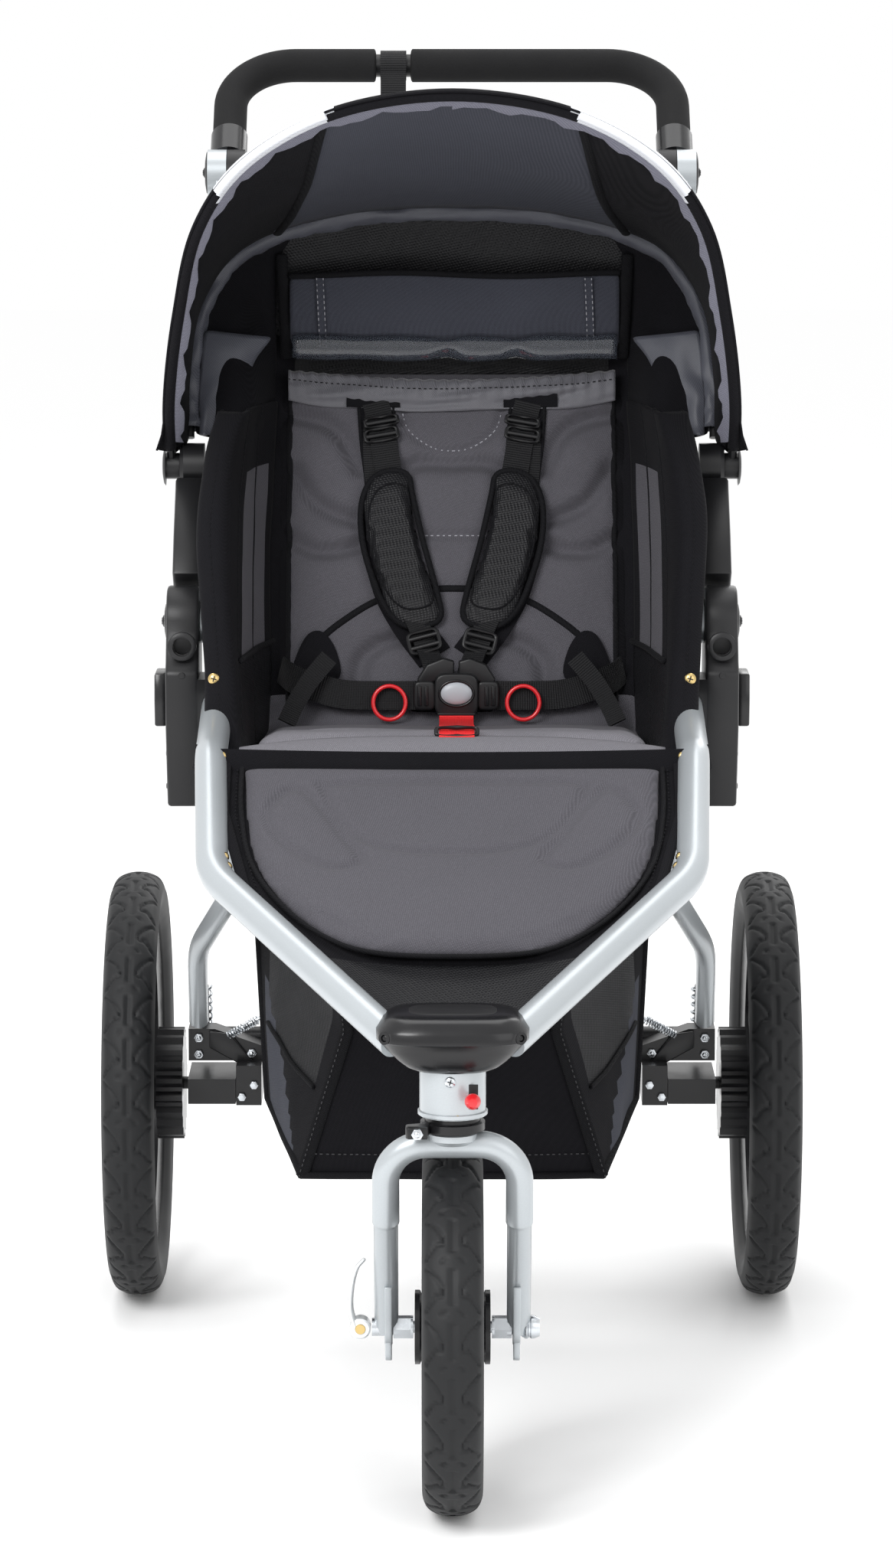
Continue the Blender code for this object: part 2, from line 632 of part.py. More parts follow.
# ---------------------------------------------------------------- rear frame
def rear_frame():
    for name, side in SIDES:
        corners = [
            (0.1960, 0.480, 0.535),
            (0.1960, 0.560, 0.430),
            (0.2400, 0.670, 0.345),
            (0.2405, 0.7015, 0.2705),
        ]
        route = rounded([(side * x, b, z) for x, b, z in corners], 0.070)
        leg = tube(f"rear_leg_{name}", route, (0.0095, 0.0140), SILVER, 14)
        low, high = sorted((side * 0.1862, side * 0.2060))
        eye = rod(
            f"leg_eye_{name}", (low, *REAR_PIVOT), high - low, 0.0175, ACROSS, SILVER, 24, helper=True
        )
        combine(leg, [eye], "UNION")
        hole = rod(
            f"leg_hole_{name}", (low - 0.02, *REAR_PIVOT), 0.06, 0.0094, ACROSS, SILVER, 20, helper=True
        )
        combine(leg, [hole], "DIFFERENCE")

        outline = [(0.1800, 0.2335), (0.2500, 0.2335), (0.2500, 0.2642), (0.2250, 0.2642), (0.1800, 0.2480)]
        points = [place(side * x, b, z) for b in (0.690, 0.7195) for x, z in outline]
        count = len(outline)
        faces = [tuple(range(count)), tuple(range(count, 2 * count))]
        faces += [(k, (k + 1) % count, count + (k + 1) % count, count + k) for k in range(count)]
        bracket = solid(f"rear_bracket_{name}", points, faces, STEEL)
        low, high = sorted((side * 0.1800, side * 0.2040))
        lug = block(
            f"bracket_lug_{name}", (low, high), (0.6630, 0.7190), (0.1960, 0.2340), STEEL, helper=True
        )
        low, high = sorted((side * 0.2030, side * 0.2420))
        pin = rod(
            f"arm_pin_{name}", (low, *ARM_PIVOT), high - low, 0.0050, ACROSS, STEEL, 16, helper=True
        )
        combine(bracket, [lug, pin], "UNION")

        low, high = sorted((side * 0.2045, side * 0.2495))
        outline = [(0.6620, 0.1975), (0.7400, 0.1915), (0.7500, 0.1960), (0.7500, 0.2150), (0.7400, 0.2215)]
        outline += [(0.6620, 0.2215)]
        arm = prism(f"suspension_arm_{name}", outline, low, high, STEEL)
        low, high = sorted((side * 0.2480, side * 0.3190))
        stub_start = (low, WHEELBASE, REAR_AXLE_Z)
        stub = rod(f"axle_stub_{name}", stub_start, high - low, 0.0060, ACROSS, ZINC, 18, helper=True)
        combine(arm, [stub], "UNION")
        low, high = sorted((side * 0.2000, side * 0.2425))
        hole = rod(
            f"arm_hole_{name}", (low, *ARM_PIVOT), high - low, 0.0054, ACROSS, STEEL, 16, helper=True
        )
        combine(arm, [hole], "DIFFERENCE")

        start = place(side * 0.2350, 0.7220, 0.3000)
        finish = place(side * 0.2350, 0.7480, 0.2290)
        spring = smooth_path([start, finish], 2)
        tube(f"shock_spring_{name}", spring, 0.0075, ZINC, 10)

    rod("rear_cross_tube", (-0.2200, *CROSS_TUBE), 0.4400, 0.0095, ACROSS, STEEL, 18)

    pedal = rod("brake_pedal", (-0.1300, 0.7800, 0.2360), 0.2600, 0.0070, ACROSS, STEEL, 14)
    parts = []
    for name, side in SIDES:
        low, high = sorted((side * 0.1040, side * 0.1240))
        parts.append(
            ring(
                f"pedal_collar_{name}",
                (low, *CROSS_TUBE),
                (0.0103, 0.0150),
                0.0200,
                ACROSS,
                STEEL,
                20,
                helper=True,
            )
        )
        link = [(0.7415, 0.2400), (0.7800, 0.2310), (0.7810, 0.2400), (0.7430, 0.2530)]
        parts.append(prism(f"pedal_link_{name}", link, low, high, STEEL, helper=True))
    combine(pedal, parts, "UNION")


# ---------------------------------------------------------------- upper frame and handlebar
def along_arm(reach, offset=0.0):
    """(behind, z) at a distance from the fold pivot along the arm, and offset to its front side."""
    behind = FOLD_PIVOT[0] + reach * math.cos(ARM_ANGLE) - offset * math.sin(ARM_ANGLE)
    return behind, FOLD_PIVOT[1] + reach * math.sin(ARM_ANGLE) + offset * math.cos(ARM_ANGLE)


CLIP = along_arm(CLIP_REACH)
ARM_LENGTH = math.hypot(BAR_PIVOT[0] - FOLD_PIVOT[0], BAR_PIVOT[1] - FOLD_PIVOT[1])


def upper_frame():
    for name, side in SIDES:
        start = place(side * FRAME_X, *FOLD_PIVOT)
        end = place(side * FRAME_X, *along_arm(ARM_LENGTH - 0.0250))
        arm = tube(f"upper_arm_{name}", [start, end], FRAME_TUBE_R, SILVER, 14)
        low, high = sorted((side * 0.1960, side * (PLATE_X[0] - GAP)))
        lug = rod(
            f"arm_lug_{name}", (low, *FOLD_PIVOT), high - low, 0.0200, ACROSS, SILVER, 24, helper=True
        )
        low, high = sorted((side * 0.2135, side * 0.2315))
        disc = rod(
            f"bar_disc_{name}", (low, *BAR_PIVOT), high - low, 0.0220, ACROSS, PLASTIC, 24, helper=True
        )
        low, high = sorted((side * 0.2138, side * 0.2230))
        neck = [along_arm(ARM_LENGTH - 0.045, -0.012), along_arm(ARM_LENGTH, -0.012)]
        neck += [along_arm(ARM_LENGTH, 0.012), along_arm(ARM_LENGTH - 0.045, 0.012)]
        neck_piece = prism(f"bar_neck_{name}", neck, low, high, PLASTIC, helper=True)
        combine(arm, [lug, disc, neck_piece], "UNION")

        low, high = sorted((side * PLATE_X[0], side * PLATE_X[1]))
        shroud = [along_arm(0.0370, -0.020), along_arm(0.080, -0.021), along_arm(0.1470, -0.014)]
        shroud += [along_arm(0.1470, 0.016), along_arm(0.080, 0.023), along_arm(0.0370, 0.021)]
        bevelled(prism(f"arm_shroud_{name}", shroud, low, high, PLASTIC), 0.003)
        clip = [(0, 0.0), (0.0210, 0.0), (0.0210, 0.0190), (0.0180, 0.0225), (0, 0.0225)]
        turned(f"canopy_clip_{name}", clip, (side * PLATE_X[0], *CLIP), (side, 0, 0), 24, PLASTIC)


def bar_point(x, reach):
    """Point of the handlebar's plane: reach is the distance from its pivot line."""
    length = math.hypot(BAR_CENTRE[0] - BAR_PIVOT[0], BAR_CENTRE[1] - BAR_PIVOT[1])
    share = reach / length
    behind = BAR_PIVOT[0] + (BAR_CENTRE[0] - BAR_PIVOT[0]) * share
    return x, behind, BAR_PIVOT[1] + (BAR_CENTRE[1] - BAR_PIVOT[1]) * share


BAR_REACH = math.hypot(BAR_CENTRE[0] - BAR_PIVOT[0], BAR_CENTRE[1] - BAR_PIVOT[1])
GRIP_SPLIT = (-0.0710, -0.0420)


def handlebar():
    corners = [bar_point(-BAR_X, 0.0250), bar_point(-BAR_X, BAR_REACH)]
    corners += [bar_point(BAR_X, BAR_REACH), bar_point(BAR_X, 0.0250)]
    route = rounded(corners, 0.062, 7)
    bar = tube("handlebar_tube", route, BAR_R, STEEL, 12)
    parts = []
    for name, side in SIDES:
        low, high = sorted((side * 0.1960, side * 0.2130))
        parts.append(
            rod(
                f"bar_lug_{name}", (low, *BAR_PIVOT), high - low, 0.0220, ACROSS, PLASTIC, 24, helper=True
            )
        )
        low, high = sorted((side * 0.2030, side * 0.2128))
        tilt = math.atan2(BAR_CENTRE[1] - BAR_PIVOT[1], BAR_CENTRE[0] - BAR_PIVOT[0])
        run, over = Vector((math.cos(tilt), math.sin(tilt))), Vector((-math.sin(tilt), math.cos(tilt)))
        web = [
            Vector(BAR_PIVOT) + run * r + over * o for r, o in (
                (0, -0.009), (0.034, -0.009), (0.034, 0.009), (0, 0.009)
            )
        ]
        parts.append(prism(f"bar_web_{name}", [tuple(w) for w in web], low, high, PLASTIC, helper=True))
    combine(bar, parts, "UNION")

    half = (len(route)) // 2
    left = [place(*bar_point(-BAR_X, 0.0400)), *route[1:half], place(*bar_point(GRIP_SPLIT[0], BAR_REACH))]
    right = [place(*bar_point(GRIP_SPLIT[1], BAR_REACH)), *route[half:-1], place(*bar_point(BAR_X, 0.0400))]
    tube("grip_left", left, GRIP_R, FOAM, 12, bore=GRIP_BORE)
    tube("grip_right", right, GRIP_R, FOAM, 12, bore=GRIP_BORE, first_side=(0, 0, 1))

    low, high = GRIP_SPLIT[0] + 0.002, GRIP_SPLIT[1] - 0.002
    centre = BAR_CENTRE
    loop = arc(centre, BAR_R + 0.0005, 180, -90, 9) + arc(centre, BAR_R + 0.0030, -90, 180, 9)
    strap = prism("wrist_strap", loop, low, high, WEBBING)
    tail_top = (centre[0] - BAR_R - 0.0030, centre[1] + 0.002)
    tail = [tail_top, (tail_top[0] + 0.0025, tail_top[1]), (0.9260, 1.0300), (0.9235, 1.0300)]
    tail_piece = prism("strap_tail", tail, low + 0.0002, high - 0.0002, WEBBING, helper=True)
    combine(strap, [tail_piece], "UNION")


# ---------------------------------------------------------------- canopy
FRONT_BOW_ANGLE = math.radians(126.2)
REAR_BOW_ANGLE = math.radians(66.0)
FRONT_ARCH = [
    (0.2568, 0.000), (0.2560, 0.080), (0.2440, 0.180), (0.2230, 0.280), (0.1780, 0.355), (0.1000, 0.408)
]
FRONT_TOP = 0.427
REAR_ARCH = [(0.2400, 0.0270), (0.2400, 0.080), (0.2300, 0.155), (0.1880, 0.213), (0.1000, 0.242)]
REAR_TOP = 0.249


def arch(points, top, angle, lift=0.0):
    """World points of a bow from left to right, given as (x, distance from the clip)."""
    whole = [(-x, r) for x, r in points] + [(0.0, top)] + [(x, r) for x, r in reversed(points)]
    flat = smooth_path([Vector((x, r)) for x, r in whole], 2)
    made = []
    for k, spot in enumerate(flat):
        ahead = (flat[min(k + 1, len(flat) - 1)] - flat[max(k - 1, 0)]).normalized()
        x, reach = spot + Vector((-ahead.y, ahead.x)) * lift
        made.append(place(x, CLIP[0] + reach * math.cos(angle), CLIP[1] + reach * math.sin(angle)))
    return made


def canopy():
    front = arch(FRONT_ARCH, FRONT_TOP, FRONT_BOW_ANGLE)
    bow = tube("canopy_front_bow", front, 0.0040, PLASTIC, 8, first_side=(0, 1, 0))
    ends = []
    for name, side in SIDES:
        low, high = sorted((side * 0.2495, side * 0.2625))
        ends.append(
            rod(f"bow_eye_{name}", (low, *CLIP), high - low, 0.0120, ACROSS, PLASTIC, 20, helper=True)
        )
    combine(bow, ends, "UNION")
    tube(
        "canopy_rear_bow", arch(REAR_ARCH, REAR_TOP, REAR_BOW_ANGLE), 0.0040, PLASTIC, 8, first_side=(
            0, 1, 0
        )
    )

    skip = 1
    front_edge = arch(FRONT_ARCH, FRONT_TOP, FRONT_BOW_ANGLE, 0.0110)[skip:-skip]
    rear_edge = arch([FRONT_ARCH[0]] + REAR_ARCH, REAR_TOP, REAR_BOW_ANGLE, 0.0110)
    rear_edge = rear_edge[skip:-skip]
    rows, spans = [], 4
    for i in range(spans + 1):
        share = i / spans
        rows.append([a.lerp(b, share) for a, b in zip(front_edge, rear_edge)])
    count = len(front_edge)
    points = [p for row in rows for p in row]
    faces = []
    for i in range(spans):
        for k in range(count - 1):
            a = i * count + k
            faces.append((a, a + 1, a + count + 1, a + count))
    fabric = solid("canopy_fabric", points, faces, BLACK)
    thick = fabric.modifiers.new("thickness", "SOLIDIFY")
    thick.thickness = 0.002
    thick.offset = 0.0

    panel = [(0.7040, 1.0260), (0.7070, 1.0260), (0.7370, 0.9060), (0.7340, 0.9060)]
    prism("canopy_rear_panel", panel, -0.180, 0.180, BLACK)


main_frame()
for side_name, side_sign in SIDES:
    side_moulding(side_name, side_sign)
seat()
seat_back()
basket()
front_wheel()
rear_wheels()
fork()
quick_release()
swivel_lock()
rear_frame()
upper_frame()
handlebar()
canopy()


# ---------------------------------------------------------------- joint axes
def both(stem):
    return [f"{stem}_{name}" for name, _ in SIDES]


def axes():
    """Each moving group: the name of its empty, a point on its joint's axis, and its pieces."""
    made = [
        ("front_wheel_axis", (0, 0, FRONT_AXLE_Z), ["front_tyre", "front_wheel_rim"]),
        ("front_swivel_axis", (0, -TRAIL, 0.3340), ["fork", "front_axle", "axle_end_nut"]),
        ("quick_release_axis", QR_PIVOT, ["quick_release_lever"]),
        ("rear_frame_axis", (0, *REAR_PIVOT), both("rear_leg") + both("rear_bracket") + ["rear_cross_tube"]),
        ("rear_spring_axis", (0, *REAR_PIVOT), both("shock_spring")),
        ("brake_axis", (0, *CROSS_TUBE), ["brake_pedal"]),
        ("fold_axis", (0, *FOLD_PIVOT), both("upper_arm") + both("arm_shroud") + both("canopy_clip")),
        ("fold_axis_fabric", (0, *FOLD_PIVOT), ["canopy_rear_bow", "canopy_rear_panel", "canopy_fabric"]),
        ("handlebar_axis", (0, *BAR_PIVOT), ["handlebar_tube", "wrist_strap"] + both("grip")),
        ("canopy_axis", (0, *CLIP), ["canopy_front_bow"]),
        ("recline_axis", (0, *RECLINE_PIVOT), ["seat_back"] + both("shoulder_pad")),
    ]
    for name, side in SIDES:
        wheel_centre = (side * TRACK / 2, WHEELBASE, REAR_AXLE_Z)
        wheel_pieces = [f"rear_tyre_{name}", f"rear_wheel_rim_{name}", f"brake_ring_{name}"]
        made.append((f"rear_wheel_axis_{name}", wheel_centre, wheel_pieces))
        made.append((f"suspension_axis_{name}", (side * 0.2270, *ARM_PIVOT), [f"suspension_arm_{name}"]))
    return made


def hang_on_axes():
    """Every turning piece hangs from an empty on its joint's axis, without moving."""
    for name, point, pieces in axes():
        axis = bpy.data.objects.new(name, None)
        axis.empty_display_size = 0.03
        axis.location = place(*point)
        bpy.context.scene.collection.objects.link(axis)
        for piece in pieces:
            made = bpy.data.objects[piece]
            made.parent = axis
            made.matrix_parent_inverse = Matrix.Translation(-axis.location)


hang_on_axes()
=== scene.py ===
"""Looks of the jogging stroller: fabrics, padding, harness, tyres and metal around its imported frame.

Metres, +Z up. The stroller faces -Y and its left side, as seen from the front, is -X. Places along it are
given as the distance behind the front axle, and at() turns them into points of the frame.
"""

import json
import math
import random

import bmesh
import bpy
import numpy as np
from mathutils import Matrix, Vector, noise
from mathutils.bvhtree import BVHTree


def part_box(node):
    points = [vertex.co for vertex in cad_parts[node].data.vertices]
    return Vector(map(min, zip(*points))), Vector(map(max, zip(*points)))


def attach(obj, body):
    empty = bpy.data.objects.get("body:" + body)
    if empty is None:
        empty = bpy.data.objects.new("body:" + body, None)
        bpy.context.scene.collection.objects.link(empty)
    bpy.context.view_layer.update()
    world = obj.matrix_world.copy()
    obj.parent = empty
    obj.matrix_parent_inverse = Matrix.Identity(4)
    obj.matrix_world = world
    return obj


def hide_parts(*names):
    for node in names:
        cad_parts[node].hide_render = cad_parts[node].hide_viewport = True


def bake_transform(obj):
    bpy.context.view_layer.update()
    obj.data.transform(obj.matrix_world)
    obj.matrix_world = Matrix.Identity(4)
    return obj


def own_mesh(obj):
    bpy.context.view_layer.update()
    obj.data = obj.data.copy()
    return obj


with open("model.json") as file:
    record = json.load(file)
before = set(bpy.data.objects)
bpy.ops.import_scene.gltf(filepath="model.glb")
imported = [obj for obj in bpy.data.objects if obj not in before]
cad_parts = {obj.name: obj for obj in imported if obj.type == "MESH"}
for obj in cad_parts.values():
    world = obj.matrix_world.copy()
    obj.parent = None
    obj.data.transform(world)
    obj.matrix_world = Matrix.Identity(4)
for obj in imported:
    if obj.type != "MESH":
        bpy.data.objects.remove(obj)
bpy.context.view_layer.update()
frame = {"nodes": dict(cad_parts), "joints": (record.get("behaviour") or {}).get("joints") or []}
NODES = frame["nodes"]
JOINTS = {joint["name"]: joint for joint in frame["joints"]}
MIDDLE = -JOINTS["front_wheel_spin"]["pos_m"][1]
SIDES = (("left", -1), ("right", 1))
random.seed(7)


def at(x, behind, z):
    """Point of the frame from its distance behind the front axle."""
    return Vector((x, behind - MIDDLE, z))


# ---------------------------------------------------------------- materials
class Nodes:
    """A material's node tree, with short calls for the nodes used here."""

    def __init__(self, name):
        self.material = bpy.data.materials.new(name)
        self.material.use_nodes = True
        self.tree = self.material.node_tree
        self.shader = self.tree.nodes["Principled BSDF"]

    def add(self, kind, **settings):
        node = self.tree.nodes.new(kind)
        for key, value in settings.items():
            if hasattr(node, key):
                setattr(node, key, value)
            else:
                node.inputs[key.replace("_", " ")].default_value = value
        return node

    def join(self, out, into):
        self.tree.links.new(out, into)

    def maths(self, operation, a, b=None):
        node = self.add("ShaderNodeMath", operation=operation)
        for slot, value in zip(node.inputs, (a, b)):
            if value is None:
                continue
            if isinstance(value, (int, float)):
                slot.default_value = value
            else:
                self.join(value, slot)
        return node.outputs[0]

    def place(self, source="Object", turn=(0, 0, 0), scale=(1, 1, 1)):
        coordinates = self.add("ShaderNodeTexCoord")
        mapping = self.add("ShaderNodeMapping")
        mapping.inputs["Rotation"].default_value = turn
        mapping.inputs["Scale"].default_value = scale
        self.join(coordinates.outputs[source], mapping.inputs["Vector"])
        return mapping.outputs[0]

    def noise(self, scale, detail=2.0, where=None):
        node = self.add("ShaderNodeTexNoise", Scale=scale, Detail=detail)
        self.join(where or self.place(), node.inputs["Vector"])
        return node.outputs["Fac"]

    def waves(self, period, where):
        node = self.add("ShaderNodeTexWave", Scale=math.pi / 10 / period)
        self.join(where, node.inputs["Vector"])
        return node.outputs["Fac"]

    def cells(self, period, where=None):
        node = self.add("ShaderNodeTexVoronoi", Scale=1 / period, Randomness=0.0)
        self.join(where or self.place(), node.inputs["Vector"])
        return node.outputs["Distance"]


def look(
    name, colour, roughness, metallic=0.0, vary=0.12, speck=0.0, relief=None, coat=0.0, sheen=0.0,
    specular=0.5,
):
    """A material with broad and fine colour changes and a relief, with painted shade in the hollows of a
    woven, ribbed or mesh relief.

    relief is (kind, size in metres, height in metres).
    kind is one of weave, twill, rib, mesh, grain or brushed.
    """
    made = Nodes(name)
    shader = made.shader
    shader.inputs["Metallic"].default_value = metallic
    shader.inputs["Coat Weight"].default_value = coat
    shader.inputs["Coat Roughness"].default_value = 0.15
    shader.inputs["Sheen Weight"].default_value = sheen
    shader.inputs["Sheen Roughness"].default_value = 0.45
    shader.inputs["Specular IOR Level"].default_value = specular

    broad = made.noise(9.0, 3.0)
    fine = made.noise(900.0, 1.0)
    tone = made.maths("ADD", made.maths("MULTIPLY", broad, 2 * vary), 1 - vary)
    tone = made.maths(
        "MULTIPLY", tone, made.maths("ADD", made.maths("MULTIPLY", fine, 2 * speck), 1 - speck),
    )
    height = None
    if relief:
        kind, size, depth = relief
        if kind in ("weave", "twill"):
            one = made.waves(size, made.place(turn=(0.6, 0.35, 0.78)))
            two = made.waves(size, made.place(turn=(-0.5, 0.9, -0.7)))
            height = made.maths("MULTIPLY", one, two) if kind == "weave" else one
        elif kind == "rib":
            rows = made.waves(size, made.place("UV"))
            threads = made.waves(size * 0.7, made.place("UV", turn=(0, 0, math.pi / 2)))
            height = made.maths("ADD", rows, made.maths("MULTIPLY", threads, 0.35))
        elif kind == "mesh":
            height = made.cells(size, made.place(turn=(0.3, 0.2, 0.78)))
        elif kind == "brushed":
            height = made.noise(1 / size, 2.0, made.place(scale=(1, 1, 12)))
        else:
            height = made.noise(1 / size, 3.0)
        bump = made.add("ShaderNodeBump", Strength=1.0, Distance=depth)
        made.join(height, bump.inputs["Height"])
        made.join(bump.outputs[0], shader.inputs["Normal"])
        # Painted shade: the base colour darkens in the relief's hollows and in the holes of a mesh, and
        # lightens on the raised threads.
        if kind in ("weave", "twill", "rib", "mesh"):
            tone = made.maths(
                "MULTIPLY", tone, made.maths("ADD", made.maths("MULTIPLY", height, 0.5), 0.75),
            )
    tint = made.add("ShaderNodeMix", data_type="RGBA", blend_type="MULTIPLY")
    tint.inputs["Factor"].default_value = 1.0
    for socket in tint.inputs:
        if socket.name == "A" and socket.type == "RGBA":
            socket.default_value = (*colour, 1.0)
        if socket.name == "B" and socket.type == "RGBA":
            grey = made.add("ShaderNodeCombineColor")
            for part in grey.inputs:
                made.join(tone, part)
            made.join(grey.outputs[0], socket)
    result = [socket for socket in tint.outputs if socket.type == "RGBA"][0]
    made.join(result, shader.inputs["Base Color"])
    rough = made.maths("ADD", made.maths("MULTIPLY", made.noise(40.0, 2.0), 0.12), roughness - 0.06)
    made.join(rough, shader.inputs["Roughness"])
    return made.material


SILVER = look(
    "silver_paint", (0.43, 0.46, 0.48), 0.34, 0.45, 0.03, 0.04, ("grain", 0.0012, 0.00003), coat=0.35,
)
PLASTIC = look(
    "moulded_plastic", (0.010, 0.010, 0.011), 0.40, vary=0.15, relief=("grain", 0.0009, 0.00006),
    specular=0.34,
)
GLOSS_PLASTIC = look(
    "glossy_plastic", (0.007, 0.007, 0.008), 0.25, vary=0.1, relief=("grain", 0.0030, 0.00004),
    specular=0.42,
)
STEEL = look(
    "painted_steel", (0.009, 0.009, 0.010), 0.33, 0.1, 0.1, relief=("grain", 0.002, 0.00003), coat=0.1,
    specular=0.35,
)
ZINC = look("zinc_plate", (0.60, 0.63, 0.66), 0.26, 1.0, 0.08, 0.05, ("brushed", 0.0015, 0.00003))
BRASS = look("brass_plate", (0.62, 0.46, 0.20), 0.30, 1.0, 0.08, 0.0, ("brushed", 0.0015, 0.00003))
RUBBER = look(
    "tyre_rubber", (0.0100, 0.0105, 0.0115), 0.58, vary=0.18, speck=0.12, relief=("grain", 0.0012, 0.00004),
    specular=0.30,
)
FOAM = look(
    "grip_foam", (0.0085, 0.0085, 0.0090), 0.86, vary=0.12, speck=0.35, relief=("grain", 0.0007, 0.00025),
    specular=0.22,
)
GREY = look(
    "grey_fabric", (0.092, 0.089, 0.102), 0.92, vary=0.08, speck=0.30, relief=("weave", 0.0012, 0.00022),
    sheen=0.05, specular=0.15,
)
LIGHT_GREY = look(
    "light_grey_fabric", (0.185, 0.180, 0.200), 0.92, vary=0.08, speck=0.28,
    relief=("weave", 0.0012, 0.00020), sheen=0.05, specular=0.15,
)
SLATE = look(
    "slate_fabric", (0.052, 0.055, 0.071), 0.80, vary=0.12, speck=0.25, relief=("weave", 0.0011, 0.00018),
    sheen=0.04, specular=0.15,
)
SATIN = look(
    "satin_lining", (0.072, 0.075, 0.092), 0.40, vary=0.14, speck=0.15, relief=("twill", 0.0010, 0.00010),
    sheen=0.05, specular=0.40,
)
LILAC = look(
    "pale_lining", (0.17, 0.17, 0.21), 0.75, vary=0.15, speck=0.2, relief=("weave", 0.0011, 0.00015),
    sheen=0.04, specular=0.15,
)
BLACK = look(
    "black_fabric", (0.0068, 0.0066, 0.0084), 0.85, vary=0.22, speck=0.30,
    relief=("weave", 0.0011, 0.00020), sheen=0.02, specular=0.10,
)
MESH = look(
    "black_mesh", (0.0085, 0.0085, 0.0100), 0.48, vary=0.15, speck=0.2, relief=("mesh", 0.0022, 0.00090),
    specular=0.28,
)
WEBBING = look(
    "black_webbing", (0.0085, 0.0085, 0.0095), 0.62, vary=0.12, speck=0.2, relief=("rib", 0.0022, 0.00045),
    specular=0.22,
)
RED_WEBBING = look(
    "red_webbing", (0.62, 0.010, 0.012), 0.58, vary=0.08, speck=0.15, relief=("rib", 0.0022, 0.00040),
)
RED = look("red_plastic", (0.62, 0.012, 0.018), 0.30, vary=0.06, relief=("grain", 0.003, 0.00003), coat=0.3)
BUTTON = look("grey_button", (0.36, 0.38, 0.41), 0.36, vary=0.05, relief=("grain", 0.001, 0.00003))
WHITE = look(
    "lever_white", (0.74, 0.76, 0.77), 0.26, 0.25, 0.04, relief=("brushed", 0.003, 0.00003), coat=0.3,
)
REFLECTIVE = look("reflective_tape", (0.72, 0.74, 0.78), 0.36, 0.15, 0.05, 0.12, ("mesh", 0.0011, 0.00012))
THREAD = look("grey_thread", (0.30, 0.30, 0.33), 0.8, vary=0.1, speck=0.2, relief=("grain", 0.0006, 0.0001))
BINDING = look(
    "black_binding", (0.0060, 0.0060, 0.0074), 0.74, vary=0.2, speck=0.3, relief=("weave", 0.0015, 0.00030),
    sheen=0.02, specular=0.12,
)
SATIN_GREY = look(
    "grey_satin", (0.105, 0.104, 0.118), 0.60, vary=0.16, speck=0.2, relief=("twill", 0.0010, 0.00012),
    sheen=0.2,
)
BLACK_THREAD = look(
    "black_thread", (0.030, 0.030, 0.033), 0.7, vary=0.1, speck=0.2, relief=("grain", 0.0006, 0.0001),
)


def vinyl():
    """The clear film of the rolled window cover."""
    made = Nodes("clear_vinyl")
    shader = made.shader
    shader.inputs["Base Color"].default_value = (0.055, 0.062, 0.078, 1)
    shader.inputs["Coat Weight"].default_value = 1.0
    shader.inputs["Coat Roughness"].default_value = 0.05
    shader.inputs["Alpha"].default_value = 0.42
    ripple = made.noise(55.0, 2.0)
    bump = made.add("ShaderNodeBump", Strength=0.7, Distance=0.0010)
    made.join(ripple, bump.inputs["Height"])
    made.join(bump.outputs[0], shader.inputs["Normal"])
    made.join(made.maths("MULTIPLY", made.noise(30.0), 0.12), shader.inputs["Roughness"])
    return made.material


VINYL = vinyl()


# ---------------------------------------------------------------- shape helpers
def piece(name, points, faces, finish, smooth_angle=40.0, marks=None):
    """A mesh object with outward faces. marks gives each face's place in a list of finishes."""
    mesh = bpy.data.meshes.new(name)
    mesh.from_pydata([tuple(p) for p in points], [], faces)
    finishes = finish if isinstance(finish, (list, tuple)) else [finish]
    for one in finishes:
        mesh.materials.append(one)
    if marks:
        mesh.polygons.foreach_set("material_index", marks)
    work = bmesh.new()
    work.from_mesh(mesh)
    bmesh.ops.recalc_face_normals(work, faces=work.faces)
    work.to_mesh(mesh)
    work.free()
    mesh.shade_smooth()
    mesh.set_sharp_from_angle(angle=math.radians(smooth_angle))
    made = bpy.data.objects.new(name, mesh)
    bpy.context.scene.collection.objects.link(made)
    return made


def merged(name, parts):
    """Several objects of one finish list made into one mesh object."""
    work = bmesh.new()
    finishes = []
    for part in parts:
        for finish in part.data.materials:
            if finish not in finishes:
                finishes.append(finish)
    for part in parts:
        graph = bpy.context.evaluated_depsgraph_get()
        mesh = bpy.data.meshes.new_from_object(part.evaluated_get(graph))
        order = [finishes.index(finish) for finish in part.data.materials]
        for polygon in mesh.polygons:
            polygon.material_index = order[polygon.material_index]
        work.from_mesh(mesh)
        bpy.data.meshes.remove(mesh)
        bpy.data.objects.remove(part)
    mesh = bpy.data.meshes.new(name)
    work.to_mesh(mesh)
    work.free()
    for finish in finishes:
        mesh.materials.append(finish)
    mesh.set_sharp_from_angle(angle=math.radians(40))
    made = bpy.data.objects.new(name, mesh)
    bpy.context.scene.collection.objects.link(made)
    return made


def rounded_route(corners, radius, steps=10):
    """Points of a path through corners, each bend an arc of the given radius."""
    made = [corners[0]]
    for before, corner, after in zip(corners, corners[1:], corners[2:]):
        back = (before - corner).normalized()
        on = (after - corner).normalized()
        half = back.angle(on) / 2
        reach = min(
            radius / math.tan(half), 0.49 * (before - corner).length, 0.49 * (after - corner).length,
        )
        true_radius = reach * math.tan(half)
        hub = corner + (back + on).normalized() * (true_radius / math.sin(half))
        first = corner + back * reach - hub
        last = corner + on * reach - hub
        for k in range(steps + 1):
            made.append(hub + first.slerp(last, k / steps).normalized() * true_radius)
    made.append(corners[-1])
    return made


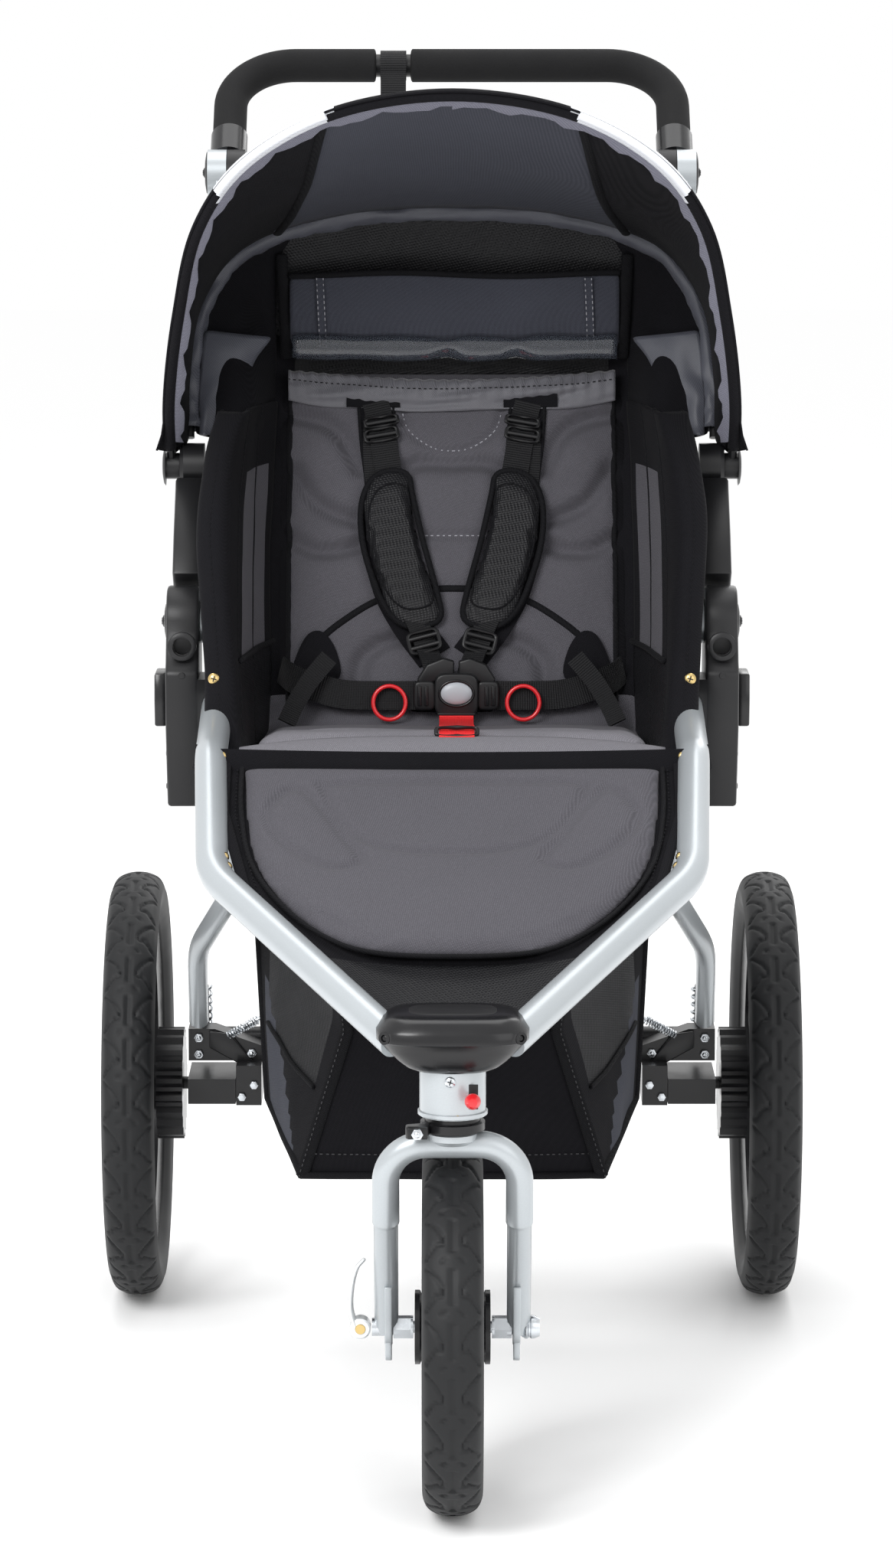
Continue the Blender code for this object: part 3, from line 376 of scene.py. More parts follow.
def smooth_route(points, per_span=6, closed=False):
    """A Catmull-Rom curve through given points."""
    if closed:
        ends = [points[-1], *points, points[0], points[1]]
    else:
        ends = [2 * points[0] - points[1], *points, 2 * points[-1] - points[-2]]
    made = []
    for i in range(1, len(ends) - 2):
        p0, p1, p2, p3 = ends[i - 1 : i + 3]
        for k in range(per_span):
            t = k / per_span
            bend = (2 * p0 - 5 * p1 + 4 * p2 - p3) * t**2
            made.append(0.5 * (2 * p1 + (p2 - p0) * t + bend + (3 * p1 - p0 - 3 * p2 + p3) * t**3))
    if not closed:
        made.append(points[-1])
    return made


def stations(route, first_side):
    """Each point of a route with a steady pair of cross directions."""
    made = []
    side = Vector(first_side)
    for i, point in enumerate(route):
        ahead = (route[min(i + 1, len(route) - 1)] - route[max(i - 1, 0)]).normalized()
        side = (side - ahead * side.dot(ahead)).normalized()
        made.append((point, side, ahead.cross(side)))
    return made


def lofted(name, rings, finish, closed_ends=True, loop=False, smooth_angle=40.0):
    """Rings of equal length joined in order, capped or joined end to end."""
    count = len(rings[0])
    points = [p for ring in rings for p in ring]
    faces = []
    levels = len(rings)
    for level in range(levels if loop else levels - 1):
        a, b = level * count, ((level + 1) % levels) * count
        for k in range(count):
            n = (k + 1) % count
            faces.append((a + k, a + n, b + n, b + k))
    if closed_ends and not loop:
        faces += [tuple(range(count)), tuple(range((levels - 1) * count, levels * count))]
    return piece(name, points, faces, finish, smooth_angle)


def tube(
    name, route, radii, finish, sides=24, first_side=(1, 0, 0), round_ends=0.0, taper=None, loop=False,
):
    """A tube of round or oval section. taper maps the share along it to a scale."""
    wide, thick = radii if isinstance(radii, tuple) else (radii, radii)
    rings = []
    places = stations(route, first_side)
    total = len(places) - 1
    for i, (point, side, other) in enumerate(places):
        scale = taper(i / total) if taper else 1.0
        ring = []
        for k in range(sides):
            turn = 2 * math.pi * k / sides
            ring.append(
                point + side * wide * scale * math.cos(turn) + other * thick * scale * math.sin(turn)
            )
        rings.append(ring)
    if round_ends:
        for end, beyond in ((0, 1), (-1, -2)):
            point = route[end]
            out = (point - route[beyond]).normalized()
            caps = []
            for lift, scale in ((0.55, 0.90), (0.85, 0.70), (1.0, 0.42)):
                caps.append([point + out * round_ends * lift + (p - point) * scale for p in rings[end]])
            rings = list(reversed(caps)) + rings if end == 0 else rings + caps
    return lofted(name, rings, finish, loop=loop)


def turned(name, profile, centre, axis, finish, segments=48, smooth_angle=35.0):
    """A profile of (radius, distance along) turned round an axis through centre."""
    along = Vector(axis).normalized()
    side = along.cross(Vector((0, 0, 1)) if abs(along.z) < 0.9 else Vector((0, 1, 0))).normalized()
    up = side.cross(along)
    rings = []
    for radius, distance in profile:
        ring = []
        for k in range(segments):
            turn = 2 * math.pi * k / segments
            spread = max(radius, 1e-5)
            ring.append(centre + along * distance + (side * math.cos(turn) + up * math.sin(turn)) * spread)
        rings.append(ring)
    open_profile = profile[0][0] == 0
    return lofted(
        name, rings, finish, closed_ends=open_profile, loop=not open_profile, smooth_angle=smooth_angle,
    )


def plate(name, outline, depth, finish, bevel=0.0015):
    """A flat plate: world points of one face, pushed along depth, with bevelled edges."""
    count = len(outline)
    points = [*outline, *[p + depth for p in outline]]
    faces = [tuple(range(count)), tuple(range(2 * count - 1, count - 1, -1))]
    faces += [(k, (k + 1) % count, count + (k + 1) % count, count + k) for k in range(count)]
    made = piece(name, points, faces, finish, 30)
    if bevel:
        step = made.modifiers.new("bevel", "BEVEL")
        step.width = bevel
        step.segments = 3
        step.limit_method = "ANGLE"
        step.angle_limit = math.radians(30)
    return made


def ribbon(name, route, across, width, thick, finish):
    """A flat strap along a route. across gives its cross direction at each point, or once for all."""
    directions = across if isinstance(across, list) else [Vector(across)] * len(route)
    rings, run = [], [0.0]
    half = width / 2
    for i, point in enumerate(route):
        ahead = (route[min(i + 1, len(route) - 1)] - route[max(i - 1, 0)]).normalized()
        side = (directions[i] - ahead * directions[i].dot(ahead)).normalized()
        up = ahead.cross(side)
        ring = []
        for u, w in (
            (-1, -0.5), (-0.5, -0.5), (0.5, -0.5), (1, -0.5), (1, 0.5), (0.5, 0.5), (-0.5, 0.5), (-1, 0.5),
        ):
            ring.append(point + side * u * half + up * w * thick)
        rings.append(ring)
        if i:
            run.append(run[-1] + (point - route[i - 1]).length)
    made = lofted(name, rings, finish)
    spread = [-1, -0.5, 0.5, 1, 1, 0.5, -0.5, -1]
    layer = made.data.uv_layers.new(name="UVMap")
    for loop in made.data.loops:
        level, k = divmod(loop.vertex_index, 8)
        layer.data[loop.index].uv = (run[level], spread[k] * half)
    return made


def sheet(name, rows, finish, thick=0.0012, levels=1, marks=None):
    """A cloth grid from rows of points, given a thickness.

    marks picks a finish from (row share, column share).
    """
    count = len(rows[0])
    points = [p for row in rows for p in row]
    faces, indices = [], []
    for i in range(len(rows) - 1):
        for k in range(count - 1):
            a = i * count + k
            faces.append((a, a + 1, a + count + 1, a + count))
            if marks:
                indices.append(marks((i + 0.5) / (len(rows) - 1), (k + 0.5) / (count - 1)))
    made = piece(name, points, faces, finish, 80, indices or None)
    if levels:
        step = made.modifiers.new("smooth", "SUBSURF")
        step.levels = step.render_levels = levels
    give_thickness(made, thick)
    return made


def give_thickness(made, thick):
    step = made.modifiers.new("thickness", "SOLIDIFY")
    step.thickness = thick
    step.offset = 0.0


def ride(made, body, replaced=()):
    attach(made, body)
    if replaced:
        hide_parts(*replaced)
    return made


class Panel:
    """The plane of a padded panel: x across, v up its face, out towards whoever sits or looks."""

    def __init__(self, foot, head):
        self.foot = at(0, *foot)
        self.up = (at(0, *head) - self.foot).normalized()
        self.out = Vector((0, -self.up.z, self.up.y))
        self.surface = None

    def point(self, x, v, lift=0.0):
        return self.foot + Vector((x, 0, 0)) + self.up * v + self.out * lift

    def measure(self, made):
        graph = bpy.context.evaluated_depsgraph_get()
        self.surface = BVHTree.FromObject(made.evaluated_get(graph), graph)

    def on(self, x, v, lift=0.0):
        """Point on the measured surface, raised by lift."""
        hit = self.surface.ray_cast(self.point(x, v, 0.2), -self.out)[0]
        return (hit or self.point(x, v)) + self.out * lift

    def coordinates(self, mesh):
        """x, v and lift of each vertex, with its normal's share along out."""
        count = len(mesh.vertices)
        places = np.empty(count * 3)
        mesh.vertices.foreach_get("co", places)
        places = places.reshape(-1, 3)
        normals = np.empty(count * 3)
        mesh.vertices.foreach_get("normal", normals)
        local = places - np.array(self.foot)
        out = np.array(self.out)
        return places, local[:, 0], local @ np.array(self.up), local @ out, normals.reshape(-1, 3) @ out

    def press(self, made, lines, depth, width):
        """Sewn lines pressed into the face: a groove along each line of (x, v) points."""
        places, x, v, _, facing = self.coordinates(made.data)
        nearest = np.full(len(x), 1.0)
        for line in lines:
            flat = smooth_route([Vector(p) for p in line], 6)
            for a, b in zip(flat, flat[1:]):
                span = b - a
                share = ((x - a.x) * span.x + (v - a.y) * span.y) / max(span.length_squared, 1e-9)
                share = np.clip(share, 0, 1)
                gap = np.hypot(x - a.x - share * span.x, v - a.y - share * span.y)
                nearest = np.minimum(nearest, gap)
        fall = np.exp(-((nearest / width) ** 2)) * (facing > 0.15)
        places -= np.outer(fall * depth, np.array(self.out))
        made.data.vertices.foreach_set("co", places.reshape(-1))
        made.data.update()

    def swell(self, made, spots):
        """Soft bumps or hollows: each spot is (x, v, half across, half up, height)."""
        places, x, v, _, facing = self.coordinates(made.data)
        lift = np.zeros(len(x))
        for sx, sv, wide, tall, height in spots:
            share = ((x - sx) / wide) ** 2 + ((v - sv) / tall) ** 2
            lift += height * np.exp(-share * 1.2)
        places += np.outer(lift * (facing > 0.0), np.array(self.out))
        made.data.vertices.foreach_set("co", places.reshape(-1))
        made.data.update()


def inflate(made, voxel, travel, pressure=4.0, frames=20):
    """Remeshes a closed shape evenly and lets cloth under pressure round it.

    No point moves further than travel.
    """
    step = made.modifiers.new("even", "REMESH")
    step.mode = "VOXEL"
    step.voxel_size = voxel
    graph = bpy.context.evaluated_depsgraph_get()
    mesh = bpy.data.meshes.new_from_object(made.evaluated_get(graph))
    made.modifiers.clear()
    made.data = mesh
    count = len(mesh.vertices) * 3
    start = np.empty(count)
    mesh.vertices.foreach_get("co", start)
    cloth = made.modifiers.new("cloth", "CLOTH")
    cloth.settings.use_pressure = True
    cloth.settings.uniform_pressure_force = pressure
    cloth.settings.effector_weights.gravity = 0.0
    cloth.point_cache.frame_start = 1
    cloth.point_cache.frame_end = frames
    scene = bpy.context.scene
    for number in range(1, frames + 1):
        scene.frame_set(number)
    graph = bpy.context.evaluated_depsgraph_get()
    puffed = made.evaluated_get(graph).to_mesh()
    end = np.empty(count)
    puffed.vertices.foreach_get("co", end)
    made.evaluated_get(graph).to_mesh_clear()
    made.modifiers.clear()
    scene.frame_set(1)
    move = (end - start).reshape(-1, 3)
    length = np.linalg.norm(move, axis=1, keepdims=True)
    move *= np.minimum(1.0, travel / np.maximum(length, 1e-9))
    mesh.vertices.foreach_set("co", start + move.reshape(-1))
    smooth = made.modifiers.new("smooth", "SUBSURF")
    smooth.levels = 1
    graph = bpy.context.evaluated_depsgraph_get()
    finer = bpy.data.meshes.new_from_object(made.evaluated_get(graph))
    made.modifiers.clear()
    made.data = finer
    finer.shade_smooth()
    return made


def soften(made, times=3, share=0.5):
    """Evens out the surface a little."""
    work = bmesh.new()
    work.from_mesh(made.data)
    for _ in range(times):
        bmesh.ops.smooth_vert(
            work, verts=work.verts, factor=share, use_axis_x=True, use_axis_y=True, use_axis_z=True,
        )
    work.to_mesh(made.data)
    work.free()
    made.data.update()


def slab(name, panel, outline, low, high, finish):
    """A closed shape over an (x, v) outline between two heights, its rim drawn in at both faces."""
    middle = sum((Vector(p) for p in outline), Vector((0, 0))) / len(outline)
    rings = []
    for share, inset in ((0.0, 0.006), (0.25, 0.0), (0.75, 0.0), (1.0, 0.006)):
        lift = low + (high - low) * share
        ring = []
        for p in outline:
            flat = Vector(p)
            inward = (middle - flat).normalized() * inset
            ring.append(panel.point(flat.x + inward.x, flat.y + inward.y, lift))
        rings.append(ring)
    return lofted(name, rings, finish)


def stitches(name, points, normals, finish=None, length=0.0032, gap=0.0022, radius=0.00042):
    """A row of thread dashes along world points."""
    travelled, dash, vertices, faces = 0.0, [], [], []
    period = length + gap
    for i in range(len(points) - 1):
        span = points[i + 1] - points[i]
        steps = max(1, int(span.length / 0.0008))
        for k in range(steps):
            spot = points[i] + span * (k / steps)
            travelled += span.length / steps
            if travelled % period < length:
                dash.append((spot, span.normalized(), normals[i]))
                continue
            if len(dash) > 1:
                start, end = dash[0][0], dash[-1][0]
                ahead, up = dash[0][1], dash[0][2]
                side = ahead.cross(up).normalized()
                base = len(vertices)
                for end_point in (start, end):
                    for u, w in ((-1, -1), (1, -1), (1, 1), (-1, 1)):
                        vertices.append(end_point + side * u * radius + up * w * radius)
                faces += [(base, base + 1, base + 2, base + 3), (base + 4, base + 5, base + 6, base + 7)]
                faces += [
                    (base + j, base + (j + 1) % 4, base + 4 + (j + 1) % 4, base + 4 + j) for j in range(4)
                ]
            dash = []
    return piece(name, vertices, faces, finish or THREAD)


def mirror_line(line):
    return [(-x, v) for x, v in line]


def screw(name, centre, out, radius, finish, cross=True):
    """A domed screw head with a cross slot."""
    profile = [
        (0, radius * 0.45), (radius * 0.45, radius * 0.42), (radius * 0.85, radius * 0.24), (radius, 0),
        (0, -0.001),
    ]
    made = turned(name, profile, centre, out, finish, 24)
    if not cross:
        return made
    along = Vector(out).normalized()
    side = along.cross(Vector((0.3, 0.2, 1))).normalized()
    up = side.cross(along)
    bars = [made]
    for direction, other in ((side, up), (up, side)):
        outline = []
        for u, w in ((-1, -1), (1, -1), (1, 1), (-1, 1)):
            outline.append(
                centre + direction * u * radius * 0.5 + other * w * radius * 0.1 + along * radius * 0.36
            )
        bars.append(plate(f"{name}_slot", outline, along * radius * 0.12, PLASTIC, 0))
    return merged(name, bars)


def hex_nut(name, centre, axis, radius, length, finish):
    """A hexagonal nut with chamfered corners."""
    along = Vector(axis).normalized()
    side = along.cross(Vector((0, 0, 1)) if abs(along.z) < 0.9 else Vector((0, 1, 0))).normalized()
    up = side.cross(along)
    outline = []
    for k in range(6):
        turn = math.pi / 3 * k
        outline.append(centre + (side * math.cos(turn) + up * math.sin(turn)) * radius)
    return plate(name, outline, along * length, finish, radius * 0.12)


# ---------------------------------------------------------------- CAD nodes that stay, with better finishes
def dress(names, finish, angle=32.0):
    for name in names:
        node = NODES[name]
        mesh = node.data
        mesh.materials.clear()
        mesh.materials.append(finish)
        for polygon in mesh.polygons:
            polygon.material_index = 0
            polygon.use_smooth = True
        weld = node.modifiers.new("weld", "WELD")
        weld.merge_threshold = 0.00002
        split = node.modifiers.new("split", "EDGE_SPLIT")
        split.split_angle = math.radians(angle)


def both(name):
    return [f"{name}_{side}" for side, _ in SIDES]


dress(both("side_moulding") + both("arm_shroud") + both("canopy_clip"), PLASTIC)
dress(both("rear_wheel_rim") + ["front_wheel_rim"] + both("brake_ring"), GLOSS_PLASTIC)
dress(both("fold_latch"), GLOSS_PLASTIC)
dress(
    both("rear_bracket") + both("suspension_arm") + ["rear_cross_tube", "brake_pedal", "swivel_bearing"],
    STEEL,
)
dress(both("rear_leg") + both("upper_arm") + ["head_tube", "frame_pivot_tube"], SILVER)
dress(["front_axle", "axle_end_nut"], ZINC)
dress(["quick_release_lever"], WHITE)
dress(["swivel_lock_knob"], RED)
dress(["canopy_front_bow", "canopy_rear_bow"], PLASTIC)
dress(["handlebar_tube"], PLASTIC)


# ---------------------------------------------------------------- tyres
def segment_gap(p, w, line, wrap):
    """Smallest distance, in metres, from each (p, w) place to a line, both along and across in metres."""
    nearest = np.full(p.shape, 1.0)
    for a, b in zip(line, line[1:]):
        for shift in (-wrap, 0.0, wrap):
            ax, ay, bx, by = a[0] + shift, a[1], b[0] + shift, b[1]
            span = (bx - ax) ** 2 + (by - ay) ** 2
            share = np.clip(((p - ax) * (bx - ax) + (w - ay) * (by - ay)) / span, 0, 1)
            nearest = np.minimum(nearest, np.hypot(p - ax - share * (bx - ax), w - ay - share * (by - ay)))
    return nearest


LEAF = [  # grooves of one tread block, as shares of the pitch along and of the half width across
    [
        (0.00, 0.98), (0.08, 0.80), (0.22, 0.54), (0.36, 0.38),
        (0.48, 0.33), (0.57, 0.38), (0.57, 0.50), (0.51, 0.57),
    ],
    [(0.53, 0.54), (0.66, 0.72), (0.84, 0.98)],
    [(0.83, 0.28), (0.91, 0.38)],
]
GROOVE_HALF = 0.0010
GROOVE_DEPTH = 0.0019
MIDDLE_GROOVE = 0.0019


def tyre(name, centre, radius, width, depth, blocks, finish, around=680, across=52):
    """A round tyre with leaf-shaped tread blocks on both sides of a fine middle groove."""
    half = width / 2
    profile = [
        (radius - depth, -half * 0.66),
        (radius - depth * 0.80, -half * 0.90),
        (radius - depth * 0.58, -half * 0.99),
        (radius - depth * 0.36, -half * 0.98),
        (radius - depth * 0.15, -half * 0.80),
        (radius - depth * 0.035, -half * 0.42),
        (radius, 0.0),
    ]
    profile += [(r, -x) for r, x in reversed(profile[:-1])]
    curve = smooth_route([Vector(p) for p in profile], 12)
    lengths = np.cumsum([0.0] + [(b - a).length for a, b in zip(curve, curve[1:])])
    samples = np.linspace(0, lengths[-1], across)
    radii = np.interp(samples, lengths, [p.x for p in curve])
    sides = np.interp(samples, lengths, [p.y for p in curve])
    slope_r, slope_x = np.gradient(radii), np.gradient(sides)
    scale = np.hypot(slope_r, slope_x)
    normal_r, normal_x = slope_x / scale, -slope_r / scale
    from_middle = samples - lengths[-1] / 2
    tread_half = half * 0.98
    turn = 2 * math.pi * np.arange(around) / around
    along, over = np.meshgrid(turn * radius, from_middle, indexing="ij")
    pitch = 2 * math.pi * radius / blocks
    p = np.mod(along, pitch)
    cut = np.clip(1.6 - np.abs(over) / MIDDLE_GROOVE, 0, 1) * (np.abs(p / pitch - 0.38) < 0.34)
    cut = np.maximum(cut, 0.25 * np.clip(1.6 - np.abs(np.abs(over) - 0.0046) / 0.0007, 0, 1))
    for side in (1, -1):
        w = over * side
        for line in LEAF:
            metres = [(a * pitch, b * tread_half) for a, b in line]
            gap = segment_gap(p, w, metres, pitch)
            cut = np.maximum(cut, np.clip(1.6 - gap / GROOVE_HALF, 0, 1))
    shoulder = np.clip((1.25 * tread_half - np.abs(over)) / (0.15 * tread_half), 0, 1)
    drop = -cut * GROOVE_DEPTH * shoulder
    rings = (np.abs(over) > 1.38 * tread_half) & (np.abs(over) < 1.43 * tread_half)
    drop = drop + rings * 0.0006
    reach = radii[None, :] + drop * normal_r[None, :]
    x = centre.x + sides[None, :] + drop * normal_x[None, :]
    y = centre.y + reach * np.cos(turn)[:, None]
    z = centre.z + reach * np.sin(turn)[:, None]
    points = np.stack([np.broadcast_to(x, y.shape), y, z], axis=-1).reshape(-1, 3)
    faces = []
    for i in range(around):
        a, b = i * across, ((i + 1) % around) * across
        for k in range(across):
            n = (k + 1) % across
            faces.append((a + k, a + n, b + n, b + k))
    made = piece(name, points.tolist(), faces, finish, 60)
    return made


def wheels():
    """Tyres with their tread, and the valve stems of the rear wheels."""
    low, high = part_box("front_tyre")
    middle = (low + high) / 2
    front = tyre("front_tyre_tread", middle, high.z / 2 - low.z / 2, high.x - low.x, 0.0435, 22, RUBBER)
    ride(front, "front_wheel", ["front_tyre"])
    for side, _ in SIDES:
        low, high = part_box(f"rear_tyre_{side}")
        middle = (low + high) / 2
        rear = tyre(
            f"rear_tyre_tread_{side}", middle, high.z / 2 - low.z / 2, high.x - low.x, 0.0395, 30, RUBBER,
        )
        ride(rear, f"rear_wheel_{side}", [f"rear_tyre_{side}"])
        stem = []
        inner = middle + Vector((0, 0, -(high.z - low.z) / 2 + 0.052))
        profile = [(0, 0.024), (0.0022, 0.0235), (0.0024, 0.018), (0.0038, 0.017), (0.0038, 0), (0, 0)]
        stem.append(turned("valve", profile, inner, (0, 0, 1), RUBBER, 16))
        ride(merged(f"valve_stem_{side}", stem), f"rear_wheel_{side}")


# ---------------------------------------------------------------- fork, head and front housing
TUBE_R = 0.014
FRAME_X = 0.2095
TUBE_ROUTE = [
    (0.046, -0.066, 0.409), (0.2025, 0.150, 0.508), (FRAME_X, 0.300, 0.585), (FRAME_X, 0.452, 0.612),
]
TUBE_BEND = 0.085
SWIVEL = -0.055  # swivel axis, behind the front axle
AXLE_Z = JOINTS["front_wheel_spin"]["pos_m"][2]
FORK_X = 0.0545
CROWN_Z = 0.322


def main_tubes():
    """The two bent silver tubes of the frame."""
    for side, sign in SIDES:
        corners = [at(sign * x, b, z) for x, b, z in TUBE_ROUTE]
        route = rounded_route(corners, TUBE_BEND, 14)
        made = tube(f"frame_tube_{side}", route, TUBE_R, SILVER, 32)
        ride(made, "frame", [f"main_tube_{side}"])
        screws = []
        for step in (8, 13, 20):
            spot = route[min(step, len(route) - 2)]
            ahead = (route[min(step + 1, len(route) - 1)] - spot).normalized()
            inward = Vector((-sign, 0, 0.55))
            inward = (inward - ahead * inward.dot(ahead)).normalized()
            screws.append(screw("screw", spot + inward * TUBE_R * 0.98, inward, 0.0036, BRASS))
        ride(merged(f"tube_screws_{side}", screws), "frame")


def fork_pieces():
    """The fork and the small parts on the head tube and front axle."""
    corners = [
        at(-FORK_X, 0.001, AXLE_Z - 0.002),
        at(-FORK_X, -0.040, 0.255),
        at(-FORK_X, SWIVEL, CROWN_Z),
        at(FORK_X, SWIVEL, CROWN_Z),
        at(FORK_X, -0.040, 0.255),
        at(FORK_X, 0.001, AXLE_Z - 0.002),
    ]
    route = rounded_route(corners, 0.046, 14)
    ends = 0.10

    def flatten(share):
        return 1.0 - 0.12 * max(0.0, 1 - min(share, 1 - share) / ends)

    parts = [tube("legs", route, (0.0110, 0.0112), SILVER, 32, (0, 1, 0), taper=flatten)]
    profile = [(0, 0), (0.0150, 0), (0.0205, 0.0040), (0.0205, 0.0090), (0.0180, 0.0108), (0, 0.0108)]
    parts.append(turned("crown", profile, at(0, SWIVEL, CROWN_Z + 0.0010), (0, 0, 1), SILVER, 48))
    for _, sign in SIDES:
        outline = []
        for k in range(25):
            turn = math.pi + math.pi * k / 24
            outline.append((0.0150 * math.cos(turn), AXLE_Z + 0.0150 * math.sin(turn)))
        outline += [(0.0145, AXLE_Z + 0.012), (0.0090, 0.196), (-0.0300, 0.196), (-0.0190, AXLE_Z + 0.012)]
        face = [at(sign * 0.0495, b, z) for b, z in outline]
        parts.append(plate("dropout", face, Vector((sign * 0.0065, 0, 0)), SILVER, 0.0012))
        tip = []
        for k in range(13):
            turn = math.pi + math.pi * k / 12
            tip.append((0.006 * math.cos(turn) - 0.0035, AXLE_Z - 0.0215 + 0.006 * math.sin(turn)))
        tip += [(0.0030, AXLE_Z - 0.010), (-0.0100, AXLE_Z - 0.010)]
        face = [at(sign * 0.0500, b, z) for b, z in tip]
        parts.append(plate("tip", face, Vector((sign * 0.0055, 0, 0)), SILVER, 0.0010))
    ride(merged("fork_legs", parts), "fork", ["fork"])

    clamp = [turned("band", [(0.0228, 0), (0.0262, 0.0008), (0.0262, 0.0072), (0.0228, 0.0080)],
                    at(0, SWIVEL, 0.3345), (0, 0, 1), STEEL, 48)]
    ear = [(-0.020, -0.089), (-0.036, -0.089), (-0.038, -0.086), (-0.038, -0.074), (-0.018, -0.066)]
    clamp.append(plate("ear", [at(x, b, 0.3335) for x, b in ear], Vector((0, 0, 0.0095)), STEEL, 0.0012))
    clamp.append(hex_nut("nut", at(-0.0285, -0.0885, 0.3382), (0, -1, 0), 0.0050, 0.0045, ZINC))
    clamp.append(screw("bolt", at(-0.0285, -0.0928, 0.3382), (0, -1, 0), 0.0027, ZINC, False))
    ride(merged("bearing_clamp", clamp), "frame")

    fittings = [
        screw("head_screw", at(-0.002, SWIVEL - 0.0268, 0.3790), (0, -1, 0), 0.0046, ZINC),
        screw("head_rivet", at(0.004, SWIVEL - 0.0268, 0.3500), (0, -1, 0), 0.0018, BRASS, False),
        turned("collar", [(0.0272, 0), (0.0284, 0.0006), (0.0284, 0.0034), (0.0272, 0.0040)],
               at(0, SWIVEL, 0.3475), (0, 0, 1), SILVER, 64),
    ]
    corners = ((0.0120, 0.3560), (0.0205, 0.3560), (0.0205, 0.3765), (0.0120, 0.3765))
    slot = [at(x, SWIVEL - 0.0226, z) for x, z in corners]
    fittings.append(plate("slot", slot, Vector((0, -0.0010, 0)), PLASTIC, 0.0004))
    coil = []
    for k in range(90):
        turn = 2 * math.pi * k / 12
        coil.append(
            at(
                0.0165 + 0.0030 * math.cos(turn), -0.0800 - 0.0085 * k / 90,
                0.3660 + 0.0030 * math.sin(turn),
            )
        )
    fittings.append(tube("coil", coil, 0.0005, ZINC, 6, (0, 1, 0)))
    ride(merged("head_tube_fittings", fittings), "frame")


HOUSING_LEVELS = [  # height, half width, front and rear edge behind the axle
    (0.3862, 0.030, -0.082, -0.028),
    (0.3895, 0.038, -0.087, -0.024),
    (0.3950, 0.045, -0.091, -0.020),
    (0.4040, 0.054, -0.096, -0.015),
    (0.4110, 0.060, -0.0990, -0.012),
    (0.4125, 0.0618, -0.1008, -0.0102),
    (0.4205, 0.0620, -0.1010, -0.0100),
    (0.4225, 0.0606, -0.0996, -0.0112),
    (0.4290, 0.0560, -0.0960, -0.0145),
    (0.4322, 0.0490, -0.0905, -0.0200),
    (0.4333, 0.0400, -0.0830, -0.0280),
]
HOUSING_SQUARE = 0.60  # 1 is an ellipse, and less is squarer


def housing_ring(z, half, front, rear, count=72):
    middle, depth = (front + rear) / 2, (rear - front) / 2
    ring = []
    for k in range(count):
        turn = 2 * math.pi * k / count
        c, s = math.cos(turn), math.sin(turn)
        x = half * math.copysign(abs(c) ** HOUSING_SQUARE, c)
        ring.append(at(x, middle + depth * math.copysign(abs(s) ** HOUSING_SQUARE, s), z))
    return ring


def housing():
    """The black housing where the main tubes meet."""
    rings = [housing_ring(*level) for level in HOUSING_LEVELS]
    shell = lofted("shell", rings, GLOSS_PLASTIC, smooth_angle=50)
    pad = [housing_ring(0.4325, 0.0370, -0.0790, -0.0330), housing_ring(0.4337, 0.0350, -0.0775, -0.0345)]
    raised = lofted("raised", pad, PLASTIC, smooth_angle=30)
    parts = [shell, raised]
    for _, sign in SIDES:
        out = Vector((sign * 0.55, -0.83, 0.05))
        spot = at(sign * 0.0545, -0.0885, 0.4165)
        ringed = [(0.0030, 0.0), (0.0052, 0.0002), (0.0052, 0.0022), (0.0030, 0.0022)]
        parts.append(turned("hole", ringed, spot - out * 0.001, out, PLASTIC, 24))
        parts.append(screw("screw", spot - out * 0.0006, out, 0.0030, STEEL))
    ride(merged("front_cap", parts), "frame", ["front_housing"])


